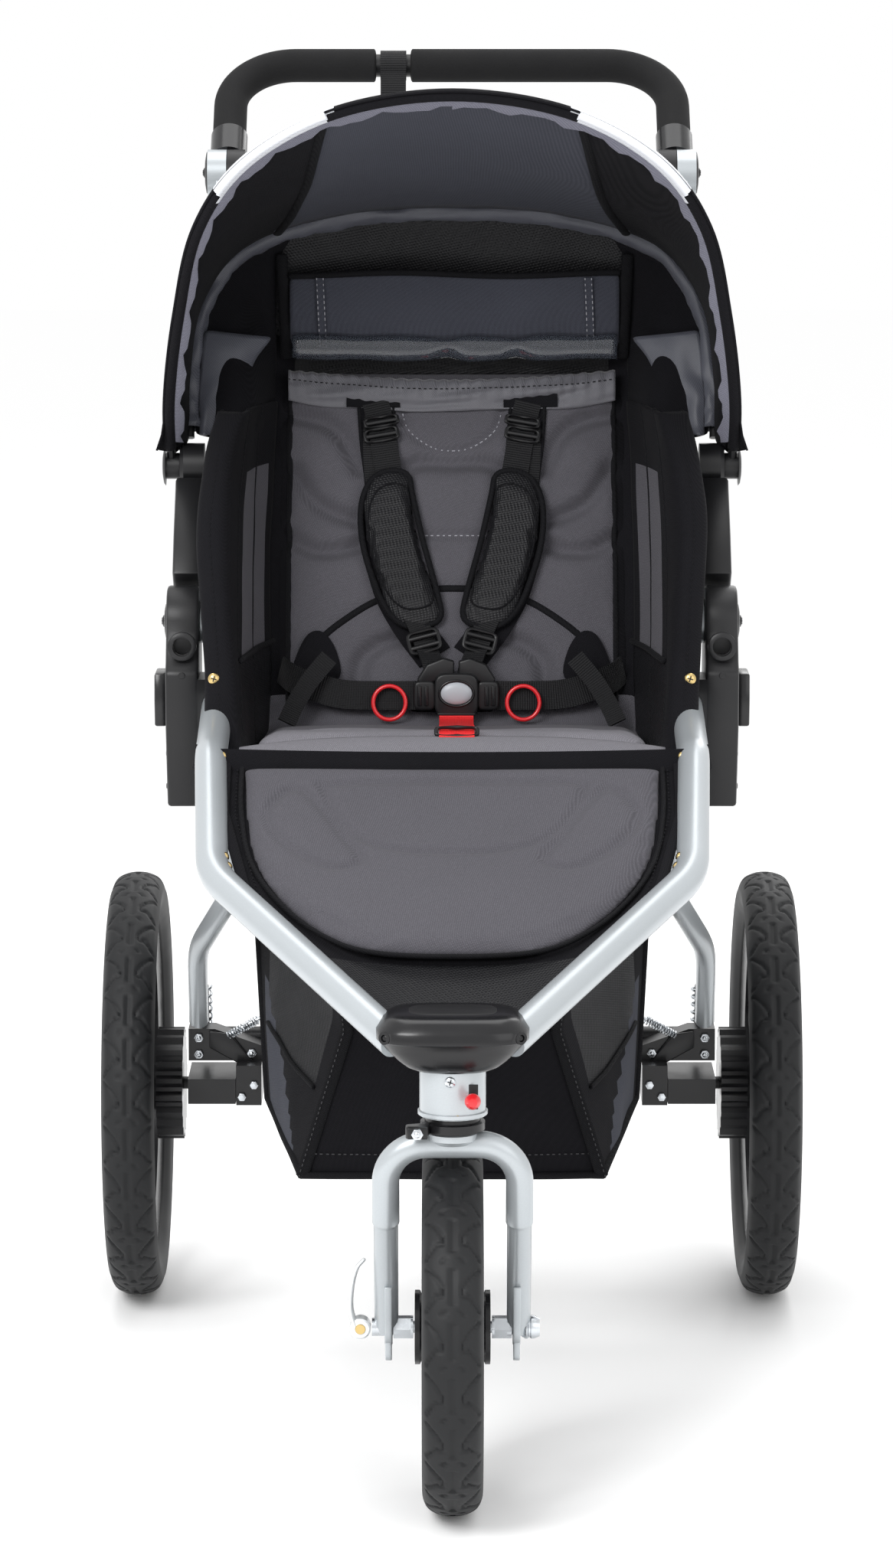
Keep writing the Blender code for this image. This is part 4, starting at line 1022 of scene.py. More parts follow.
def wheel_hardware():
    """Washers, nuts and the curved lever arm that the plain solids leave out."""
    parts = []
    for _, sign in SIDES:
        for place_x, radius, length in ((0.0448, 0.0088, 0.0040), (0.0325, 0.0096, 0.0020)):
            profile = [(0.0052, 0), (radius, 0), (radius, length), (0.0052, length)]
            parts.append(turned("washer", profile, at(sign * place_x, 0, AXLE_Z), (sign, 0, 0), ZINC, 32))
    ride(merged("axle_washers", parts), "fork")
    hub = []
    for _, sign in SIDES:
        profile = [
            (0.0056, 0), (0.0290, 0), (0.0300, 0.0010), (0.0300, 0.0034), (0.0285, 0.0040),
            (0.0056, 0.0040),
        ]
        hub.append(turned("cap", profile, at(sign * 0.0272, 0, AXLE_Z), (sign, 0, 0), PLASTIC, 48))
    ride(merged("front_hub_caps", hub), "front_wheel")

    x, behind, z = -0.0760, 0.0, AXLE_Z
    route = smooth_route(
        [
            at(x - 0.001, behind, z - 0.004), at(x - 0.0075, behind - 0.002, z + 0.014),
            at(x - 0.0070, behind - 0.003, z + 0.034), at(x - 0.0030, behind - 0.002, z + 0.050),
            at(x + 0.0025, behind, z + 0.0565),
        ],
        8,
    )
    lever = [
        tube("arm", route, (0.0022, 0.0068), WHITE, 20, (1, 0, 0), 0.002, lambda share: 1.15 - 0.35 * share)
    ]
    profile = [
        (0, -0.0082), (0.0072, -0.0082), (0.0086, -0.0070), (0.0086, 0.0070), (0.0072, 0.0082), (0, 0.0082),
    ]
    lever.append(turned("barrel", profile, at(x, behind, z), (0, 1, 0), WHITE, 40))
    lever.append(turned("pin", [(0, -0.0090), (0.0040, -0.0090), (0.0044, -0.0082), (0, -0.0082)],
                        at(x, behind, z), (0, 1, 0), BRASS, 24))
    ride(merged("quick_release_arm", lever), "quick_release", ["quick_release_lever"])

    profile = [
        (0.0053, 0), (0.0078, 0), (0.0098, 0.0030), (0.0098, 0.0050), (0.0088, 0.0058), (0.0088, 0.0072),
        (0.0098, 0.0080), (0.0096, 0.0105), (0.0078, 0.0150), (0.0053, 0.0150),
    ]
    nut = turned("axle_end_cap", profile, at(0.0568, 0, AXLE_Z), (1, 0, 0), ZINC, 48)
    ride(nut, "fork", ["axle_end_nut"])


# ---------------------------------------------------------------- rear brackets and springs
def rear_hardware():
    """Screws, plates and coil springs of the rear brackets."""
    for side, sign in SIDES:
        front = 0.6895
        bolts = []
        for x, z in ((0.2400, 0.2560), (0.2400, 0.2400), (0.1900, 0.2410)):
            bolts.append(hex_nut("nut", at(sign * x, front, z), (0, -1, 0), 0.0046, 0.0040, ZINC))
            bolts.append(screw("bolt", at(sign * x, front - 0.0038, z), (0, -1, 0), 0.0026, ZINC, False))
        for x, z in ((0.1870, 0.2160), (0.1985, 0.2045)):
            bolts.append(hex_nut("nut", at(sign * x, 0.6625, z), (0, -1, 0), 0.0042, 0.0036, ZINC))
        web = [(0.1880, 0.2330), (0.2050, 0.2330), (0.2300, 0.2470), (0.2300, 0.2630), (0.2100, 0.2600)]
        bolts.append(
            plate("rib", [at(sign * x, 0.6885, z) for x, z in web], Vector((0, -0.0035, 0)), STEEL, 0.001)
        )
        ride(merged(f"bracket_bolts_{side}", bolts), "rear_frame")

        turns, radius, wire = 9.0, 0.0058, 0.0013
        start, end = at(sign * 0.2350, 0.7220, 0.3000), at(sign * 0.2350, 0.7480, 0.2290)
        axis = (end - start).normalized()
        across = Vector((1, 0, 0))
        up = axis.cross(across).normalized()
        coil = []
        steps = 240
        for k in range(steps + 1):
            turn = 2 * math.pi * turns * k / steps
            coil.append(
                start.lerp(end, k / steps) + (across * math.cos(turn) + up * math.sin(turn)) * radius
            )
        spring = tube("coil", coil, wire, ZINC, 8, (0, 1, 0))
        rod = tube("rod", [start, start.lerp(end, 0.5), end], 0.0032, STEEL, 20, (1, 0, 0))
        both_parts = merged(f"shock_coil_{side}", [spring, rod])
        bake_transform(both_parts)
        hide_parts(f"shock_spring_{side}")

        lever = [
            tube(
                "pull_spring",
                coil_between(
                    at(sign * 0.2120, 0.6880, 0.2580), at(sign * 0.1840, 0.6860, 0.2740), 0.0036, 12,
                ),
                0.0009, ZINC, 6, (0, 1, 0),
            )
        ]
        lever.append(tube("pin", [at(sign * 0.2160, 0.6885, 0.2560), at(sign * 0.1800, 0.6860, 0.2765)],
                          0.0019, ZINC, 16, (0, 1, 0), 0.001))
        ride(merged(f"brake_spring_{side}", lever), "rear_frame")

        cap = [(0, 0.0060), (0.0070, 0.0055), (0.0098, 0.0030), (0.0100, 0), (0, 0)]
        hub = turned(
            f"rear_hub_cap_{side}", cap, at(sign * 0.3180, 0.735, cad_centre(f"rear_tyre_{side}").z),
            (sign, 0, 0), GLOSS_PLASTIC, 32,
        )
        ride(hub, f"rear_wheel_{side}")


def coil_between(start, end, radius, turns):
    axis = (end - start).normalized()
    across = axis.cross(Vector((0, 1, 0))).normalized()
    up = axis.cross(across)
    steps = int(turns * 16)
    route = []
    for k in range(steps + 1):
        turn = 2 * math.pi * turns * k / steps
        route.append(start.lerp(end, k / steps) + (across * math.cos(turn) + up * math.sin(turn)) * radius)
    return route


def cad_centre(node):
    low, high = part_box(node)
    return (low + high) / 2


# ---------------------------------------------------------------- upper frame: mouldings and handlebar
FOLD_PIVOT = (0.490, 0.680)
BAR_PIVOT = (0.820, 1.067)
BAR_CENTRE = (0.945, 1.165)
BAR_X = 0.2125
BAR_BEND = 0.062
GRIP_R = 0.0160
GRIP_SPLIT = (-0.0710, -0.0420)
BAR_REACH = math.hypot(BAR_CENTRE[0] - BAR_PIVOT[0], BAR_CENTRE[1] - BAR_PIVOT[1])


def bar_point(x, reach):
    share = reach / BAR_REACH
    behind = BAR_PIVOT[0] + (BAR_CENTRE[0] - BAR_PIVOT[0]) * share
    return at(x, behind, BAR_PIVOT[1] + (BAR_CENTRE[1] - BAR_PIVOT[1]) * share)


def handlebar_pieces():
    """Foam grips, collars and the wrist strap."""
    corners = [bar_point(-BAR_X, 0.0250), bar_point(-BAR_X, BAR_REACH)]
    corners += [bar_point(BAR_X, BAR_REACH), bar_point(BAR_X, 0.0250)]
    route = rounded_route(corners, BAR_BEND, 18)
    half = len(route) // 2
    left = [bar_point(-BAR_X, 0.0420), *route[1:half], bar_point(GRIP_SPLIT[0] - 0.004, BAR_REACH)]
    right = [bar_point(GRIP_SPLIT[1] + 0.004, BAR_REACH), *route[half:-1], bar_point(BAR_X, 0.0420)]
    for side, line in (("left", left), ("right", right)):
        first = (1, 0, 0) if side == "left" else (0, 0, 1)
        grip = tube(f"foam_grip_{side}", line, GRIP_R, FOAM, 36, first, 0.0022)
        ride(grip, "handlebar", [f"grip_{side}"])
    for side, sign in SIDES:
        start, end = bar_point(sign * BAR_X, 0.018), bar_point(sign * BAR_X, 0.052)
        collar = tube(
            f"grip_collar_{side}", [start, start.lerp(end, 0.85), end], 0.0174, GLOSS_PLASTIC, 36,
            (1, 0, 0), 0.001,
        )
        ride(collar, "handlebar")
        profile = [
            (0, 0.0042), (0.0120, 0.0040), (0.0190, 0.0028), (0.0216, 0.0004), (0.0216, -0.004),
            (0, -0.004),
        ]
        disc = turned("disc", profile, at(sign * 0.2300, *BAR_PIVOT), (sign, 0, 0), PLASTIC, 48)
        bolt = screw("bolt", at(sign * 0.2340, *BAR_PIVOT), (sign, 0, 0), 0.0052, STEEL)
        ride(merged(f"bar_pivot_cover_{side}", [disc, bolt]), "upper_frame")

    middle_x = (GRIP_SPLIT[0] + GRIP_SPLIT[1]) / 2
    centre = at(middle_x, *BAR_CENTRE)
    loop = []
    for k in range(41):
        turn = math.radians(200 - 340 * k / 40)
        loop.append(centre + Vector((0, math.cos(turn), math.sin(turn))) * 0.0134)
    tail = smooth_route(
        [loop[0], at(middle_x, 0.9275, 1.140), at(middle_x, 0.9235, 1.090), at(middle_x, 0.9250, 1.032)], 8,
    )
    strap = [ribbon("loop", loop, (1, 0, 0), 0.0250, 0.0020, WEBBING)]
    strap.append(ribbon("tail", tail, (1, 0, 0), 0.0246, 0.0020, WEBBING))
    made = merged("bar_wrist_strap", strap)
    ride(made, "handlebar", ["wrist_strap"])


def moulding_details():
    """Sockets and other details of the black side mouldings."""
    for side, sign in SIDES:
        parts = []
        outer = sign * 0.2562
        profile = [(0, 0.0026), (0.0100, 0.0024), (0.0150, 0.0014), (0.0165, 0), (0, 0)]
        parts.append(turned("cover", profile, at(outer, *FOLD_PIVOT), (sign, 0, 0), GLOSS_PLASTIC, 40))
        parts.append(
            screw("cover_bolt", at(outer + sign * 0.0022, *FOLD_PIVOT), (sign, 0, 0), 0.0060, STEEL)
        )
        front = 0.4362
        ringed = [(0.0086, 0), (0.0118, 0.0002), (0.0128, 0.0010), (0.0128, 0.0060), (0.0086, 0.0060)]
        parts.append(
            turned("socket_ring", ringed, at(sign * 0.2410, 0.4395, 0.663), (0, 1, 0), PLASTIC, 48)
        )
        parts.append(turned("dimple", [(0, 0.0008), (0.0026, 0.0006), (0.0032, 0), (0, 0)],
                            at(sign * 0.2410, front, 0.6375), (0, -1, 0), PLASTIC, 24))
        for z in (0.5300, 0.5600):
            parts.append(screw("side_screw", at(outer, 0.4880, z), (sign, 0, 0), 0.0044, STEEL))
        ride(merged(f"moulding_fittings_{side}", parts), "frame")

        cap = [(0, 0.0030), (0.0090, 0.0028), (0.0160, 0.0016), (0.0180, 0), (0, 0)]
        clip = turned(f"canopy_clip_cover_{side}", cap,
                      at(sign * 0.2622, 0.600406, 0.809269), (sign, 0, 0), PLASTIC, 40)
        ride(clip, "canopy")


wheels()
main_tubes()
fork_pieces()
housing()
wheel_hardware()
rear_hardware()
handlebar_pieces()
moulding_details()


# ---------------------------------------------------------------- seat back
BACK = Panel((0.548, 0.580), (0.700, 0.895))
BACK_HALF = 0.170
GREY_HALF = 0.150
BACK_LENGTH = 0.345

BACK_SEAMS = [
    [
        (-0.047, 0.305), (-0.040, 0.284), (-0.020, 0.268), (0.0, 0.264), (0.020, 0.268), (0.040, 0.284),
        (0.047, 0.305),
    ],
    [(-0.046, 0.180), (0.0, 0.180), (0.046, 0.180)],
]
BACK_CHANNELS = [  # soft channels of the left half, mirrored for the right
    [(-0.150, 0.300), (-0.118, 0.292), (-0.100, 0.276), (-0.086, 0.246)],
    [(-0.146, 0.246), (-0.128, 0.216), (-0.106, 0.202), (-0.088, 0.196)],
    [(-0.150, 0.180), (-0.128, 0.166), (-0.104, 0.166), (-0.084, 0.172)],
    [(-0.046, 0.246), (-0.030, 0.252), (-0.012, 0.252), (0.0, 0.251)],
    [(-0.086, 0.034), (-0.082, 0.060), (-0.064, 0.076), (-0.046, 0.080)],
]
BACK_PIPING = [
    [
        (-0.128, 0.072), (-0.104, 0.094), (-0.068, 0.117), (-0.030, 0.126), (0.0, 0.128), (0.030, 0.126),
        (0.068, 0.117), (0.104, 0.094), (0.128, 0.072),
    ],
    [
        (-0.118, 0.052), (-0.100, 0.030), (-0.078, 0.016), (-0.040, 0.013), (0.0, 0.012), (0.040, 0.013),
        (0.078, 0.016), (0.100, 0.030), (0.118, 0.052),
    ],
]


def superellipse(half_x, half_v, centre, power=0.35, count=44):
    outline = []
    for k in range(count):
        turn = 2 * math.pi * k / count
        c, s = math.cos(turn), math.sin(turn)
        outline.append(
            (
                centre[0] + half_x * math.copysign(abs(c) ** power, c),
                centre[1] + half_v * math.copysign(abs(s) ** power, s),
            )
        )
    return outline


def paint(made, finishes, choose):
    """Gives each face one of the finishes, from its middle point."""
    made.data.materials.clear()
    for finish in finishes:
        made.data.materials.append(finish)
    for polygon in made.data.polygons:
        polygon.material_index = choose(polygon.center, polygon.normal)


def along_surface(panel, line, lift, per_span=8):
    flat = smooth_route([Vector(p) for p in line], per_span)
    return [panel.on(p.x, p.y, lift) for p in flat]


def piping(name, panel, line, radius, finish, lift=0.0):
    """A bound cord sewn along a line of the panel."""
    route = along_surface(panel, line, lift)
    return tube(name, route, (radius, radius * 0.75), finish, 12, (1, 0.01, 0), 0.001)


def strap_on(name, panel, line, width, lift, thick, finish, per_span=8):
    """A flat strap lying on the panel along a line of (x, v) points."""
    flat = smooth_route([Vector(p) for p in line], per_span)
    route, across = [], []
    for i, p in enumerate(flat):
        ahead = (flat[min(i + 1, len(flat) - 1)] - flat[max(i - 1, 0)]).normalized()
        side = Vector((ahead.y, -ahead.x))
        heights = []
        for share in (-0.4, 0.0, 0.4):
            q = p + side * width * share
            heights.append((panel.on(q.x, q.y) - panel.foot).dot(panel.out))
        route.append(panel.point(p.x, p.y, max(heights) + lift + thick / 2))
        across.append(Vector((side.x, 0, 0)) + panel.up * side.y)
    return ribbon(name, route, across, width, thick, finish)


BACKING_LINE = (  # middle of the black strip under each shoulder strap, as x and v on the seat back
    (0.071, 0.316), (0.068, 0.270), (0.063, 0.225), (0.066, 0.175),
    (0.056, 0.128), (0.038, 0.092), (0.016, 0.060),
)


def seat_back():
    """The padded seat back with its seams, piping and the strips under the shoulder straps."""
    outline = superellipse(BACK_HALF, BACK_LENGTH / 2, (0, BACK_LENGTH / 2 + 0.006), 0.22)
    pad = slab("seat_back_cushion", BACK, outline, -0.026, -0.005, GREY)
    inflate(pad, 0.0050, 0.0065)
    BACK.swell(
        pad,
        [(0, 0.222, 0.045, 0.028, 0.0050), (0, 0.150, 0.060, 0.026, 0.0040), (0, 0.060, 0.06, 0.04, 0.0030)],
    )
    for sign in (-1, 1):
        lobes = [
            (0.120, 0.262, 0.028, 0.020, 0.0050), (0.122, 0.222, 0.026, 0.016, 0.0040),
            (0.118, 0.140, 0.030, 0.030, 0.0050), (0.120, 0.312, 0.030, 0.014, 0.0040),
            (0.112, 0.055, 0.022, 0.020, 0.0030),
        ]
        BACK.swell(pad, [(sign * x, v, wide, tall, height) for x, v, wide, tall, height in lobes])
    channels = BACK_CHANNELS + [mirror_line(line) for line in BACK_CHANNELS]
    BACK.press(pad, channels, 0.0105, 0.0080)
    soften(pad)
    BACK.press(pad, BACK_SEAMS, 0.0036, 0.0042)
    BACK.press(pad, BACK_PIPING, 0.0026, 0.0055)
    soften(pad, 1)
    paint(pad, [GREY, BLACK], lambda p, n: int(abs(p.x) > GREY_HALF or n.dot(BACK.out) < 0.1))
    BACK.measure(pad)
    ride(pad, "backrest", ["seat_back"])

    trim = [piping(f"trim_{k}", BACK, line, 0.0034, BINDING) for k, line in enumerate(BACK_PIPING)]
    for sign in (-1, 1):
        edge = [
            (sign * GREY_HALF, 0.020), (sign * GREY_HALF, 0.120), (sign * GREY_HALF, 0.230),
            (sign * GREY_HALF, 0.325),
        ]
        trim.append(piping("edge", BACK, edge, 0.0024, BINDING))
    ride(merged("seat_back_piping", trim), "backrest")

    rows = []
    for k, line in enumerate(BACK_SEAMS):
        route = along_surface(BACK, line, 0.0004, 14)
        rows.append(stitches(f"rows_{k}", route, [BACK.out] * len(route)))
    ride(merged("seat_back_stitches", rows), "backrest")

    strips = []
    for sign in (-1, 1):
        line = [(sign * x, v) for x, v in BACKING_LINE]
        strips.append(strap_on("strip", BACK, line, 0.034, 0.0002, 0.0022, BLACK))
        top = [(sign * 0.048, 0.311), (sign * 0.074, 0.311), (sign * 0.098, 0.311)]
        strips.append(strap_on("top", BACK, top, 0.013, 0.0024, 0.0022, BLACK))
        for share in (-1, 1):
            rim = [(x + share * 0.0158, v) for x, v in line[:4]]
            strips.append(piping("rim", BACK, rim, 0.0019, BINDING, 0.0022))
    backing = merged("harness_backing", strips)
    ride(backing, "backrest")


# ---------------------------------------------------------------- harness
def slide_buckle(name, centre, across, up, half_width, half_height, finish=PLASTIC, bars=1):
    """A flat slide adjuster: a rounded frame with cross bars."""
    out = across.cross(up).normalized()
    parts = []
    corners = []
    for k in range(40):
        turn = 2 * math.pi * k / 40
        c, s = math.cos(turn), math.sin(turn)
        u = half_width * math.copysign(abs(c) ** 0.4, c)
        w = half_height * math.copysign(abs(s) ** 0.4, s)
        corners.append(centre + across * u + up * w)
    rings = []
    for k, point in enumerate(corners):
        outward = (point - centre).normalized()
        ring = []
        for j in range(8):
            turn = 2 * math.pi * j / 8
            ring.append(point + outward * 0.0019 * math.cos(turn) + out * 0.0021 * math.sin(turn))
        rings.append(ring)
    parts.append(lofted("rim", rings, finish, loop=True))
    for k in range(bars):
        height = 0.0 if bars == 1 else (k / (bars - 1) - 0.5) * half_height * 0.9
        start = centre + up * height - across * half_width
        bar = [start, start.lerp(start + across * 2 * half_width, 0.5), start + across * 2 * half_width]
        parts.append(tube("bar", bar, (0.0018, 0.0022), finish, 12, tuple(out)))
    return merged(name, parts)


def shoulder_parts(side, sign):
    """Shoulder straps with their pads, bindings and slide adjusters."""
    outline = [
        (0.041, 0.239), (0.059, 0.243), (0.076, 0.233), (0.085, 0.208), (0.084, 0.172), (0.074, 0.134),
        (0.060, 0.102), (0.042, 0.086), (0.020, 0.087), (0.009, 0.096), (0.012, 0.118), (0.026, 0.172),
        (0.036, 0.218),
    ]
    outline = [(sign * x, v) for x, v in outline]
    smooth = [(p.x, p.y) for p in smooth_route([Vector(p) for p in outline], 4, closed=True)]
    pad = slab(
        f"shoulder_cushion_{side}", BACK,
        [(p[0] * 0.97 + sign * 0.0014, p[1] * 0.985 + 0.0025) for p in smooth], 0.0055, 0.0125, MESH,
    )
    inflate(pad, 0.0036, 0.0042)
    front = BACK.point(0, 0, 0.008).dot(BACK.out)
    paint(pad, [MESH, BLACK], lambda p, n: int(p.dot(BACK.out) < front - 0.001))
    ride(pad, "backrest", [f"shoulder_pad_{side}"])

    surface = Panel((0.548, 0.580), (0.700, 0.895))
    surface.measure(pad)
    centre = Vector((sign * 0.048, 0.165))
    rims = []
    for shrink, radius in ((1.0, 0.0028), (0.80, 0.0009)):
        route = []
        for p in smooth:
            q = centre + (Vector(p) - centre) * (shrink * 0.965)
            route.append(surface.point(q.x, q.y, 0.0092) if shrink == 1.0 else surface.on(q.x, q.y, 0.0002))
        rims.append(tube("rim", route, radius, BINDING, 10, (1, 0.01, 0), loop=True))
    ride(merged(f"shoulder_binding_{side}", rims), "backrest")

    top = [
        (sign * 0.071, 0.309), (sign * 0.066, 0.288), (sign * 0.062, 0.262), (sign * 0.058, 0.238),
        (sign * 0.055, 0.222),
    ]
    upper = [strap_on("upper", BACK, top, 0.0245, 0.0035, 0.0018, WEBBING)]
    tail = [(sign * 0.069, 0.305), (sign * 0.071, 0.275), (sign * 0.070, 0.245), (sign * 0.068, 0.225)]
    upper.append(strap_on("tail", BACK, tail, 0.0230, 0.0020, 0.0014, WEBBING))
    across = (BACK.up * -0.18 * sign + Vector((1, 0, 0))).normalized()
    upward = across.cross(BACK.out).normalized() * -1
    for k, v in enumerate((0.289, 0.276)):
        spot = BACK.on(sign * 0.0655, v, 0.0075)
        upper.append(
            slide_buckle("adjuster", spot, across, upward, 0.0150, 0.0045 + 0.0015 * k, PLASTIC, 1)
        )
    ride(merged(f"shoulder_strap_{side}", upper), "backrest")

    pull = [
        BACK.on(sign * 0.036, 0.100, 0.008), BACK.on(sign * 0.029, 0.084, 0.009),
        BACK.on(sign * 0.023, 0.066, 0.009), at(sign * 0.0170, 0.5440, 0.6330),
        at(sign * 0.0145, 0.5420, 0.6240),
    ]
    route = smooth_route(pull, 8)
    lower = [ribbon("lower", route, (1, 0, 0.12 * sign), 0.0200, 0.0018, WEBBING)]
    tilt = Vector((1, 0, -0.26 * sign)).normalized()
    upward = (BACK.up + Vector((0.26 * sign, 0, 0))).normalized()
    spot = BACK.on(sign * 0.0255, 0.072, 0.0120)
    lower.append(slide_buckle("ladder", spot, tilt, upward, 0.0140, 0.0100, PLASTIC, 2))
    made = merged(f"lower_strap_{side}", lower)
    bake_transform(made)


HIP_PAD_OUTLINE = (
    (0.103, 0.040), (0.106, 0.066), (0.118, 0.084), (0.132, 0.082),
    (0.143, 0.060), (0.148, 0.034), (0.128, 0.028),
)
BUCKLE_X = 0.004  # the buckle hangs a little to one side of the middle


def waist_and_buckle():
    """Buckle, waist straps, red rings, hip pads and crotch strap."""
    x0 = BUCKLE_X
    parts = []

    def rounded_block(name, x, z, depth, finish, power=0.45, bevel=0.0022):
        outline = []
        middle_x, middle_z = (x[0] + x[1]) / 2, (z[0] + z[1]) / 2
        for k in range(36):
            turn = 2 * math.pi * k / 36
            c, s = math.cos(turn), math.sin(turn)
            u = (x[1] - x[0]) / 2 * math.copysign(abs(c) ** power, c)
            w = (z[1] - z[0]) / 2 * math.copysign(abs(s) ** power, s)
            outline.append(at(x0 + middle_x + u, depth[0], middle_z + w))
        return plate(name, outline, Vector((0, depth[1] - depth[0], 0)), finish, bevel)

    parts.append(rounded_block("body", (-0.0200, 0.0200), (0.5870, 0.6265), (0.5290, 0.5490), PLASTIC))
    for sign in (-1, 1):
        low, high = sorted((sign * 0.0185, sign * 0.0390))
        parts.append(rounded_block("wing", (low, high), (0.5925, 0.6190), (0.5330, 0.5455), PLASTIC))
        for k in range(2):
            x = sign * (0.0275 + 0.0060 * k)
            parts.append(
                rounded_block(
                    "slot", (x - 0.0020, x + 0.0020), (0.5965, 0.6150), (0.5318, 0.5340), GLOSS_PLASTIC,
                    0.3, 0.0008,
                )
            )
        shoulder = [
            (0.0020, 0.6240), (0.0020, 0.6370), (0.0120, 0.6400), (0.0270, 0.6340), (0.0360, 0.6200),
            (0.0330, 0.6150), (0.0200, 0.6180),
        ]
        face = [at(x0 + sign * x, 0.5350, z) for x, z in shoulder]
        parts.append(plate("shoulder", face, Vector((0, 0.0100, 0)), PLASTIC, 0.0020))
    lip_corners = ((-0.0175, 0.5905), (0.0175, 0.5905), (0.0165, 0.5880), (-0.0165, 0.5880))
    lip = [at(x0 + x, 0.5285, z) for x, z in lip_corners]
    parts.append(plate("lip", lip, Vector((0, 0.004, 0)), PLASTIC, 0.0006))
    rim = []
    for k in range(40):
        turn = 2 * math.pi * k / 40
        rim.append(at(x0 + 0.0158 * math.cos(turn), 0.5288, 0.6085 + 0.0118 * math.sin(turn)))
    parts.append(tube("rim", rim, 0.0011, GLOSS_PLASTIC, 10, (0, 1, 0), loop=True))
    ride(merged("harness_buckle", parts), "frame", ["buckle"])

    rings = []
    for scale, lift in ((0.15, 0.0026), (0.55, 0.0022), (0.85, 0.0012), (1.0, -0.0004), (1.0, -0.0060)):
        ring = []
        for k in range(40):
            turn = 2 * math.pi * k / 40
            ring.append(
                at(
                    x0 + 0.0142 * scale * math.cos(turn), 0.5285 - lift,
                    0.6085 + 0.0102 * scale * math.sin(turn),
                )
            )
        rings.append(ring)
    ride(lofted("buckle_release_button", rings, BUTTON), "harness_button", ["buckle_button"])

    for side, sign in SIDES:
        route = smooth_route(
            [
                at(x0 + sign * 0.0300, 0.5400, 0.6055), at(sign * 0.0620, 0.5420, 0.6050),
                at(sign * 0.1000, 0.5440, 0.6060), at(sign * 0.1270, 0.5460, 0.6130),
                at(sign * 0.1460, 0.5550, 0.6190), at(sign * 0.1570, 0.5700, 0.6250),
            ],
            10,
        )
        made = ribbon(f"waist_webbing_{side}", route, (0, 0.12, 1), 0.0260, 0.0020, WEBBING)
        ride(made, "frame", [f"waist_strap_{side}"])
        ring = []
        for k in range(48):
            turn = 2 * math.pi * k / 48
            c, s = math.cos(turn), math.sin(turn)
            ring.append(at(x0 + sign * 0.0610 + 0.0148 * c, 0.5355 + 0.0020 * s, 0.5990 + 0.0152 * s))
        ride(tube(f"red_ring_{side}", ring, 0.0019, RED, 16, (0, 1, 0), loop=True), "frame")
        tail = smooth_route(
            [
                at(sign * 0.1120, 0.5420, 0.6400), at(sign * 0.1290, 0.5350, 0.6200),
                at(sign * 0.1420, 0.5250, 0.6000), at(sign * 0.1500, 0.5120, 0.5840),
            ],
            8,
        )
        ride(
            ribbon(f"waist_tail_{side}", tail, (1, 0, 0.5 * sign), 0.0170, 0.0018, WEBBING), "frame",
        )
        pad_outline = [(sign * x, v) for x, v in HIP_PAD_OUTLINE]
        smooth = [(p.x, p.y) for p in smooth_route([Vector(p) for p in pad_outline], 4, closed=True)]
        pad = slab(f"hip_cushion_{side}", BACK, smooth, 0.0040, 0.0085, BLACK)
        step = pad.modifiers.new("round", "BEVEL")
        step.width = 0.0015
        step.segments = 2
        made = merged(f"hip_pad_{side}", [pad])
        ride(made, "backrest")

    route = smooth_route(
        [
            at(x0, 0.5340, 0.5930), at(x0, 0.5240, 0.5850), at(x0, 0.4900, 0.5855), at(x0, 0.4300, 0.5930),
            at(x0, 0.3700, 0.6010), at(x0, 0.3420, 0.5995), at(x0, 0.3330, 0.5930),
        ],
        8,
    )
    strap = [ribbon("red", route, (1, 0, 0), 0.0310, 0.0022, RED_WEBBING)]
    strap.append(
        slide_buckle(
            "slide", at(x0, 0.3420, 0.6010), Vector((1, 0, 0)), Vector((0, 0.75, 0.65)).normalized(),
            0.0180, 0.0050, PLASTIC, 0,
        )
    )
    ride(merged("crotch_webbing", strap), "frame", ["crotch_strap"])


# ---------------------------------------------------------------- seat base, band and footrest
SEAT = Panel((0.335, 0.5985), (0.543, 0.5760))
FOOT = Panel((0.0, 0.433), (0.296, 0.583))
FOOT_OUTLINE = [
    (0.182, 0.326), (0.181, 0.262), (0.172, 0.192), (0.150, 0.138), (0.116, 0.092), (0.072, 0.063),
    (0.0, 0.056),
]
FOOT_BOWL = [
    (-0.112, 0.292), (-0.098, 0.240), (-0.074, 0.212), (-0.040, 0.198), (0.0, 0.196), (0.040, 0.198),
    (0.074, 0.212), (0.098, 0.240), (0.112, 0.292), (0.060, 0.298), (0.0, 0.299), (-0.060, 0.298),
    (-0.112, 0.292),
]
FOOT_LEAF = [
    (-0.160, 0.252), (-0.146, 0.278), (-0.132, 0.286), (-0.114, 0.262), (-0.094, 0.220), (-0.078, 0.184),
    (-0.100, 0.172), (-0.128, 0.190), (-0.152, 0.222), (-0.160, 0.252),
]


def tube_x(behind):
    """Half distance between the main tubes' centres."""
    return min(
        FRAME_X, 0.046 + (behind + 0.066) * 0.7245,
    ) if behind < 0.13 else min(FRAME_X, 0.1880 + (behind - 0.13) * 0.22)


